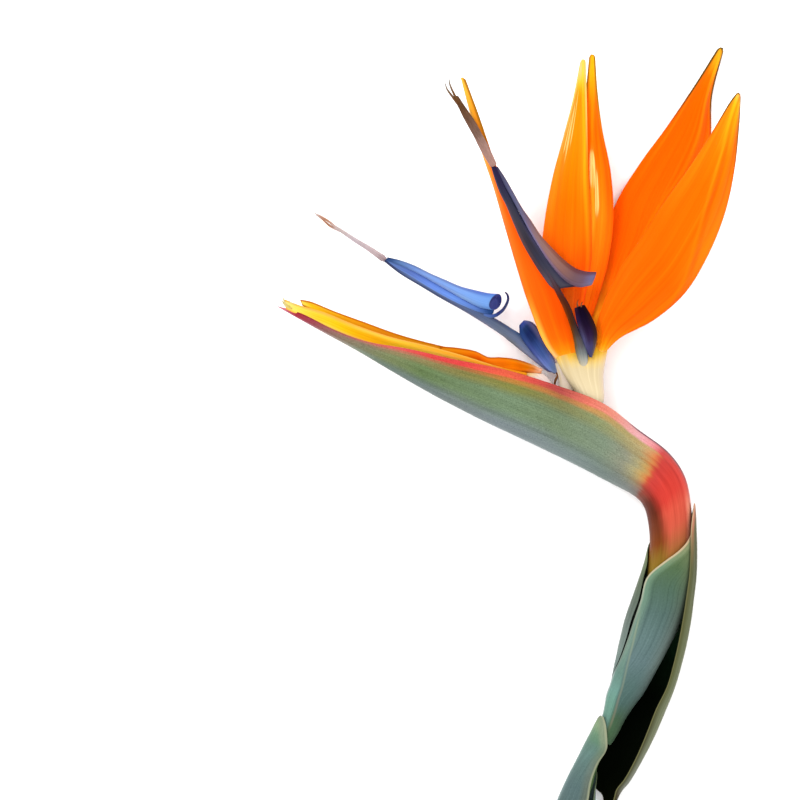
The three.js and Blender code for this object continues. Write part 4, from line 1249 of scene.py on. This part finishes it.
# %% The petals' finish
def petal_finish(name, left, middle, right, rim, grains=(0.3, 0.3)):
    """A full body with rows of shades along its left, near and right sides, veins and a dark rim."""
    skin = Finish(name)
    side = skin.math("PINGPONG", skin.across, 0.5)
    place = skin.running(20, 0.08)
    body = skin.sided(place, side, middle, left, right, (0.22, 0.1), (0.28, 0.4))
    fibres = skin.grain(48, 2.2, detail=4)
    body = skin.veins(body, fibres, *grains)
    body = skin.mix(skin.all(skin.step(side, 0.05, 0.01), skin.step(skin.along, 0.06, 0.2)), body, rim)
    skin.colour(body)
    skin.relief(fibres, 0.08)
    return skin.material


# %% [markdown]
# The first arrow is bright blue where the light strikes its vane, and slate along its claw. Its barb ends in
# a hollow mouth with a dark rim, which is the body's end face, inset and pushed in.

# %% The blue finishes
blue = petal_finish(
    "blue_vane",
    "0 #2c3c60, 7 #3c5280, 16 #6783b7, 26 #5f7cb4, 45 #708cc8, 65 #6f92dc, 85 #5f86e8, 97 #6496f4",
    "0 #324878, 6 #3c5890, 15 #6688c0, 26 #7898dc, 40 #8aaef4, 70 #86b0fa, 97 #82b4ff",
    "5 #4c6aa5, 18 #6080b8, 32 #86a8f0, 60 #a0beff, 80 #9cc4ff, 97 #7eb0ff",
    "#243a78", (0.25, 0.2))
blue_low = petal_finish(
    "blue_lower_vane",
    "10 #5c7ac4, 30 #5c7cc8, 50 #6a90ea, 75 #6a8fe8, 93 #34589c",
    "5 #6a88c8, 25 #6680cc, 45 #749af6, 65 #74a0f8, 85 #688cdc, 97 #2d508e",
    "5 #708fce, 35 #7ca2f6, 70 #80aafb, 88 #6688c8, 97 #315291",
    "#243a78", (0.25, 0.25))
navy = petal_finish(
    "blue_claw",
    "0 #8e9ae0, 15 #9098d0, 28 #9498b4, 40 #80868e, 55 #8690ac, 66 #666e90, 78 #465478, 95 #3c4468",
    "10 #7888c4, 28 #828fb8, 38 #747f9c, 50 #69758c, 60 #5a6a90, 75 #627094, 88 #687cac, 97 #363f64",
    "20 #6080b4, 35 #5c7cae, 48 #505c80, 60 #56648c, 80 #5c6c9c, 97 #343c60",
    "#4c5878", (0.25, 0.3))
hook_navy = petal_finish(
    "hook_navy",
    "5 #5c7ac0, 18 #4460a8, 30 #364684, 50 #3c4470, 75 #2c3268, 95 #3c4066",
    "5 #607cc0, 18 #465fa8, 30 #364180, 50 #444a72, 75 #343a6c, 95 #44466c",
    "5 #708cc8, 30 #4c5a90, 60 #586088, 95 #505478",
    "#282e5c", (0.2, 0.2))
mouth_navy = petal_finish(
    "vane_mouth",
    "40 #3c4290, 90 #4a52a8",
    "40 #3a4088, 90 #3c4290",
    "40 #4048a0, 90 #4d58a8",
    "#32387c", (0.2, 0.3))

# %% The blue petals' lines
upper_vane = pod(
    trace(
        (13.4, 11.8), (387, 257), (400, 260), (415, 265.5), (430, 273), (445, 279.5), (460, 286),
        (475, 290), (489, 293), (504, 294)
    ),
    trace(
        (13.4, 11.8), (386, 261), (398, 265), (410, 270), (423, 276.5), (436, 284), (450, 292), (464, 300),
        (481, 308), (500, 311)
    ),
    sizes(0.6, 1.2, 1.7, 2.1, 2.5, 2.8, 2.9, 2.8, 2.4),
    slant=0.085,
)
lower_vane = pod(
    trace(
        (13.0, 10.8), (385, 258), (399, 263.5), (412, 268.8), (425, 275.8), (438, 283.2), (451, 290.6),
        (464, 298), (478, 305), (495, 309.5)
    ),
    trace(
        (13.0, 10.8), (383, 260), (395, 268.5), (408, 276), (422, 285), (436, 293.5), (450, 301),
        (464, 307.5), (478, 313), (492, 316)
    ),
    sizes(0.5, 1.0, 1.4, 1.6, 1.7, 1.8, 1.8, 1.6, 0.8),
)
first_claw = pod(
    trace(
        (7.6, 8.2, 9.4, 10.8, 12.2, 13), (556, 373), (548, 371.5), (540, 366), (530, 358), (520, 350),
        (510, 342), (500, 334), (480, 321), (460, 309), (440, 298), (420, 286), (400, 274), (382, 260)
    ),
    trace(
        (7.6, 8.2, 9.4, 10.8, 12.2, 13), (557, 371), (551, 363), (543, 353), (534, 344), (524, 336),
        (512, 328.5), (500, 321), (482, 311), (462, 300), (442, 289), (422, 278), (402, 267), (384, 258)
    ),
    sizes(0.7, 1.3, 1.6, 1.8, 1.9, 1.9, 1.8, 1.6, 1.4, 1.2, 1, 0.8, 0.6),
)

# %% Make the first arrow
MOUTH_RIM, MOUTH_DEPTH = 0.35 * MM, 0.6 * MM
vane = lay(upper_vane, 70, 32, closed=True)
mouth = max((face for face in vane.faces if len(face.verts) > 4), key=lambda face: face.calc_center_median().x)
mouth.material_index = 1
bmesh.ops.inset_individual(vane, faces=[mouth], thickness=MOUTH_RIM, depth=-MOUTH_DEPTH)
show("first_arrow_upper", vane, "first_arrow", "blue_petal", blue, mouth_navy)
show("first_arrow_lower", lay(lower_vane, 70, 28, closed=True), "first_arrow", "blue_petal", blue_low)
show("first_arrow_claw", lay(first_claw, 90, 28, closed=True), "first_arrow", "blue_petal", navy)
hook_axis = trace(
    (11.4, 12.2), (483, 315), (493, 316), (500, 312.5), (505, 307), (508, 300), (507.5, 295), (505, 292)
)
hook = lay(round_bar(hook_axis, sizes(0.7, 0.7, 0.65, 0.55, 0.5, 0.4, 0.25)), 40, 14, closed=True)
show("first_arrow_hook", hook, "first_arrow", "blue_petal", hook_navy)

# %% [markdown]
# The second arrow has aged to slate and mauve. A dark blade lies in front of a paler vane, and the claw below
# them runs from brown to the grey of the flower's foot.

# %% The purple finishes
slate = petal_finish(
    "purple_blade",
    "0 #4a4060, 10 #302a50, 25 #34364a, 40 #3c3c58, 52 #545074, 64 #4e4e68, 80 #464460, 95 #342840",
    "0 #30264a, 15 #35314f, 30 #403f51, 42 #45424e, 55 #3c3742, 66 #3a3a4c, 80 #4a4856, 90 #504c5a, 97 #302840",
    "5 #282449, 25 #35324a, 38 #4e4050, 55 #5c474a, 70 #54424a, 85 #665a66, 95 #463848",
    "#1c162c", (0.14, 0.4))
mauve = petal_finish(
    "mauve_vane",
    "0 #4c4860, 20 #625e80, 35 #6e6278, 45 #90716c, 58 #a06458, 70 #8c5648, 80 #744248, 90 #6c4858, 97 #705068",
    "0 #575468, 15 #616085, 28 #70708f, 38 #806c84, 48 #9a7878, 60 #9f756c, 72 #946860, 82 #7c5c62, "
    "90 #785e70, 97 #7c76a0",
    "5 #636185, 20 #6c6a9c, 32 #9490c0, 45 #a094c4, 56 #967ea4, 68 #846c88, 78 #745c6c, 88 #80657a, 97 #8a83a5",
    "#3a2430", (0.14, 0.3))

# %% The purple petals' lines
dark_blade = pod(
    trace(
        (27, 21), (498, 168), (504, 184), (511, 197.5), (519, 213), (528, 229), (538, 245), (549, 261),
        (560, 274), (570, 282), (590, 285.5)
    ),
    trace(
        (26.6, 20.8), (490, 164), (494, 178), (499, 192), (506.2, 206.7), (513.7, 224.7), (521.7, 242.7),
        (531.4, 259.8), (542, 276), (553, 289), (564, 288)
    ),
    sizes(0.8, 1.5, 1.9, 2.1, 2.2, 2.3, 2.3, 2.1, 1.6, 0.6),
)
mauve_vane = pod(
    trace(
        (27, 20.6), (497, 166), (505, 178), (513, 192), (522, 208), (531, 221), (541, 236), (552, 248),
        (563, 259), (575, 268), (586, 271.5), (597, 272)
    ),
    trace(
        (26.8, 20.4), (496, 170), (503, 184), (510, 197), (519, 213), (527.6, 229.6), (537, 246),
        (547.6, 262.6), (558, 275.5), (569, 284.5), (580, 287.4), (592, 285.2)
    ),
    sizes(0.5, 1.1, 1.5, 1.8, 2.1, 2.3, 2.5, 2.6, 2.6, 2.4, 1.6),
)
second_claw = pod(
    trace(
        (14.4, 17.8, 19.6, 21, 22.6, 24.8, 26.4), (581.5, 370), (576, 354), (573.5, 340), (571, 330),
        (567, 318), (562, 306), (556, 294), (547, 276), (531, 250), (513, 216), (497, 180)
    ),
    trace(
        (14.4, 17.8, 19.6, 21, 22.6, 24.8, 26.4), (586.5, 369.5), (588, 354), (584, 340), (579, 330),
        (574.5, 318), (570, 306), (563, 294), (552, 274), (535, 246), (517, 212), (500, 178)
    ),
    sizes(0.7, 1.3, 1.5, 1.5, 1.5, 1.5, 1.5, 1.4, 1.2, 1, 0.7),
)

# %% Make the second arrow
claw_brown = petal_finish(
    "purple_claw",
    "0 #f0e4c0, 3 #d4cab0, 6 #b4ae98, 10 #8c8878, 15 #766444, 25 #6c441a, 36 #74380c, 48 #883c12, 58 #6c3018, "
    "68 #54404a, 85 #30283c",
    "0 #f4e8c8, 3 #dcd4bc, 6 #bcbcb0, 10 #8c9290, 15 #6c686a, 25 #54443e, 36 #4e2c18, 48 #5a2814, 58 #5a2a1c, "
    "68 #524450, 80 #383c50",
    "0 #f0e4cc, 3 #dcd4c4, 6 #bcc0bc, 10 #7c848a, 17 #4a5066, 26 #443f55, 40 #4e3838, 52 #54261f, 66 #54383e, "
    "80 #343a50",
    "#3a2010", (0.2, 0.35))
show("second_arrow_blade", lay(dark_blade, 80, 28, closed=True), "second_arrow", "purple_petal", slate)
show("second_arrow_vane", lay(mauve_vane, 80, 32, closed=True), "second_arrow", "purple_petal", mauve)
show("second_arrow_claw", lay(second_claw, 90, 28, closed=True), "second_arrow", "purple_petal", claw_brown)

# %% [markdown]
# ## Hoods
#
# The third petal of each flower is a short hood at the foot of the arrow: bright blue on the first flower,
# and almost black on the second.

# %% The hoods' finishes
hood_blue = petal_finish(
    "hood_blue",
    "0 #1c3a70, 15 #2a4884, 30 #38508e, 45 #4858a0, 58 #6072bc, 70 #8094e4, 85 #98b0fa, 97 #a0b9e2",
    "0 #34489a, 8 #3c4c90, 14 #243966, 26 #1e2c60, 38 #243668, 50 #385090, 65 #48609f, 76 #6076bd, 88 #6c88bc, "
    "97 #8a9cc8",
    "0 #5c6ab0, 15 #5a5c90, 30 #706e98, 42 #7c78a8, 55 #6a70ac, 70 #707cc0, 85 #98aade, 97 #b0c0e6",
    "#24386e", (0.2, 0.35))
hood_black = petal_finish(
    "hood_black",
    "0 #3c2038, 12 #2a1430, 28 #2a1a44, 38 #3c3050, 50 #4a4468, 62 #5a5884, 80 #5c5888, 95 #484870",
    "0 #160a1c, 20 #180e26, 40 #22142e, 55 #301e40, 68 #3c2e50, 80 #4a4470, 95 #505077",
    "0 #1e0c12, 20 #22101c, 40 #301a1c, 60 #341e1c, 75 #5c4434, 90 #6c6068",
    "#645e90", (0.12, 0.4))

# %% Make the hoods
first_hood = pod(
    trace((12.8, 9.6), (519, 325), (520, 335), (525, 344), (532, 353), (540, 362), (548, 370), (555, 374)),
    trace((12.8, 9.6), (524, 320), (532, 322), (539, 329), (544, 338), (549, 349), (555, 361), (558, 372)),
    sizes(0.9, 1.8, 2.0, 2.0, 1.8, 1.3, 0.7),
)
second_hood = pod(
    trace((22.2, 16.6), (574, 308), (576, 320), (580, 334), (584, 345), (589, 357)),
    trace((22.2, 16.6), (584.2, 304.4), (591.3, 316.3), (596.5, 329), (596.5, 342), (592, 358)),
    sizes(0.9, 1.9, 2.1, 1.7, 0.7),
)
show("first_hood_skin", lay(first_hood, 50, 32, closed=True), "first_hood", "blue_petal", hood_blue)
show("second_hood_skin", lay(second_hood, 50, 32, closed=True), "second_hood", "purple_petal", hood_black)

# %% [markdown]
# ## Threads
#
# The stamens and the style leave the arrow's tip as one bundle of thin threads, and part at the end. Each
# thread is its own thin bar, wound a little round the others.


# %% The threads' finishes
def thread_finish(name, row):
    """Spotted from end to end, and duller than a petal."""
    skin = Finish(name)
    body = skin.shades(skin.running(5, 0.2), row)
    spots = skin.grain(6, 16, detail=4)
    body = skin.veins(body, spots, 0.35, 0.3)
    skin.colour(body)
    skin.relief(spots, 0.1, 0.6, 0.85)
    return skin.material


pale_thread = thread_finish("pale_thread", "0 #b49a9e, 15 #d8c0c2, 60 #dccacf, 85 #dcc8c4")
pale_end = thread_finish("pale_thread_end", "0 #e0cccb, 35 #c89070, 60 #cf9a80, 85 #dcc8c0")
brown_thread = thread_finish(
    "brown_thread", "0 #c09488, 25 #b48c80, 42 #8a6a5c, 60 #7c5a48, 80 #6a462c, 95 #765034"
)
brown_end = thread_finish("brown_thread_end", "0 #70482a, 40 #805a38, 65 #9a8674, 100 #b0aaa4")


# %% Bundles of threads
def show_bundle(name, node, core, spread, finish, count, thickness):
    """Several threads wound round a core, 2.5 radians from end to end."""
    for i in range(count):
        phase = 2 * math.pi * i / count

        def wound(t, phase=phase):
            turn = phase + 2.5 * t
            return core(t) + Vector((math.cos(turn), math.sin(turn), math.sin(turn + 1))) * spread(t)

        bar = lay(round_bar(wound, thickness), 50, 8, closed=True)
        show(f"{name}_{i}", bar, node, "filament", finish, levels=0)


first_core = trace((13.2, 14.4), (384, 259), (371, 250), (358, 242), (346, 234), (335, 227))
first_spread, first_thickness = sizes(0.7, 0.55, 0.45, 0.4, 0.35), sizes(0.55, 0.5, 0.42, 0.36, 0.3)
show_bundle("first_thread", "first_stigma", first_core, first_spread, pale_thread, 5, first_thickness)
second_core = trace((27.4, 30.6), (493, 165), (484, 148), (474, 129), (464, 112), (456, 98))
second_spread, second_thickness = sizes(0.6, 0.9, 0.9, 0.75, 0.5), sizes(0.75, 0.75, 0.7, 0.6, 0.45)
show_bundle("second_thread", "second_stigma", second_core, second_spread, brown_thread, 6, second_thickness)

# %% Thread ends
ends = {
    "first_end_a": ("first_stigma", pale_end, (14.4, 16), (338, 229), (328, 221), (320, 216), (314, 213)),
    "first_end_b": ("first_stigma", pale_end, (14.2, 13), (340, 231), (330, 226), (322, 219), (316, 215)),
    "second_end_a": ("second_stigma", brown_end, (30.6, 32.6), (459, 104), (454, 95), (450, 86), (449, 80)),
    "second_end_b": ("second_stigma", brown_end, (30.6, 31), (458, 105), (452, 97), (447, 90), (445, 84)),
}
for name, (node, finish, heights, *pixels) in ends.items():
    bar = lay(round_bar(trace(heights, *pixels), sizes(0.5, 0.45, 0.35, 0.2)), 24, 10, closed=True)
    show(name, bar, node, "filament", finish, levels=0)

# %% [markdown]
# ## Frayed ends
#
# A few dry threads are left where parts have withered: one hangs off the first flower's foot, two stand on
# the dark hood, and the bud's tips are frayed.


# %% Frayed ends
def fray_finish(name, row):
    skin = Finish(name)
    skin.colour(skin.shades(skin.along, row))
    skin.relief(skin.grain(5, 9), 0.05, 0.7, 0.9)
    return skin.material


dry = fray_finish("dry_thread", "0 #7a4a2a, 50 #94603c, 100 #5a3018")
straw = fray_finish("straw_thread", "0 #e8c860, 60 #f2e29a, 100 #c8b478")
withered = trace((9.8, 11.5), (557, 372), (557.5, 376), (555.5, 380), (554, 387))
left_hair = trace((23, 24), (577.5, 307), (577, 303), (578, 300))
right_hair = trace((23, 24), (581, 307), (581, 304), (582.5, 302))
long_fray = trace((14.8, 15.2), (290, 307), (285, 303), (283, 297))
low_fray = trace((14.8, 15), (292, 309), (286, 306), (282, 301))
short_fray = trace((14.8, 15.1), (297, 306), (291, 303), (289, 301))
frays = {
    "withered_thread": ("filament", dry, withered, (0.5, 0.4, 0.45, 0.3)),
    "hood_hair_left": ("filament", dry, left_hair, (0.35, 0.2, 0.12)),
    "hood_hair_right": ("filament", dry, right_hair, (0.35, 0.2, 0.12)),
    "bud_fray_long": ("bud_sepal", straw, long_fray, (0.45, 0.35, 0.15)),
    "bud_fray_low": ("bud_sepal", straw, low_fray, (0.45, 0.4, 0.15)),
    "bud_fray_short": ("bud_sepal", straw, short_fray, (0.4, 0.3, 0.12)),
}
for name, (slot, finish, core, thickness) in frays.items():
    bar = lay(round_bar(core, sizes(*thickness)), 20, 10, closed=True)
    show(name, bar, None, slot, finish, levels=0)

# %% [markdown]
# ## Size
#
# The dressed flower has to fill the same box as the solids, so both boxes are printed side by side.

# %% Sizes and finish
dressed_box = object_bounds()
for axis, cad_low, cad_high, low, high in zip("xyz", *cad_box, *dressed_box):
    print(axis, "solids", round(cad_low / MM, 1), round(cad_high / MM, 1),
          "dressed", round(low / MM, 1), round(high / MM, 1))
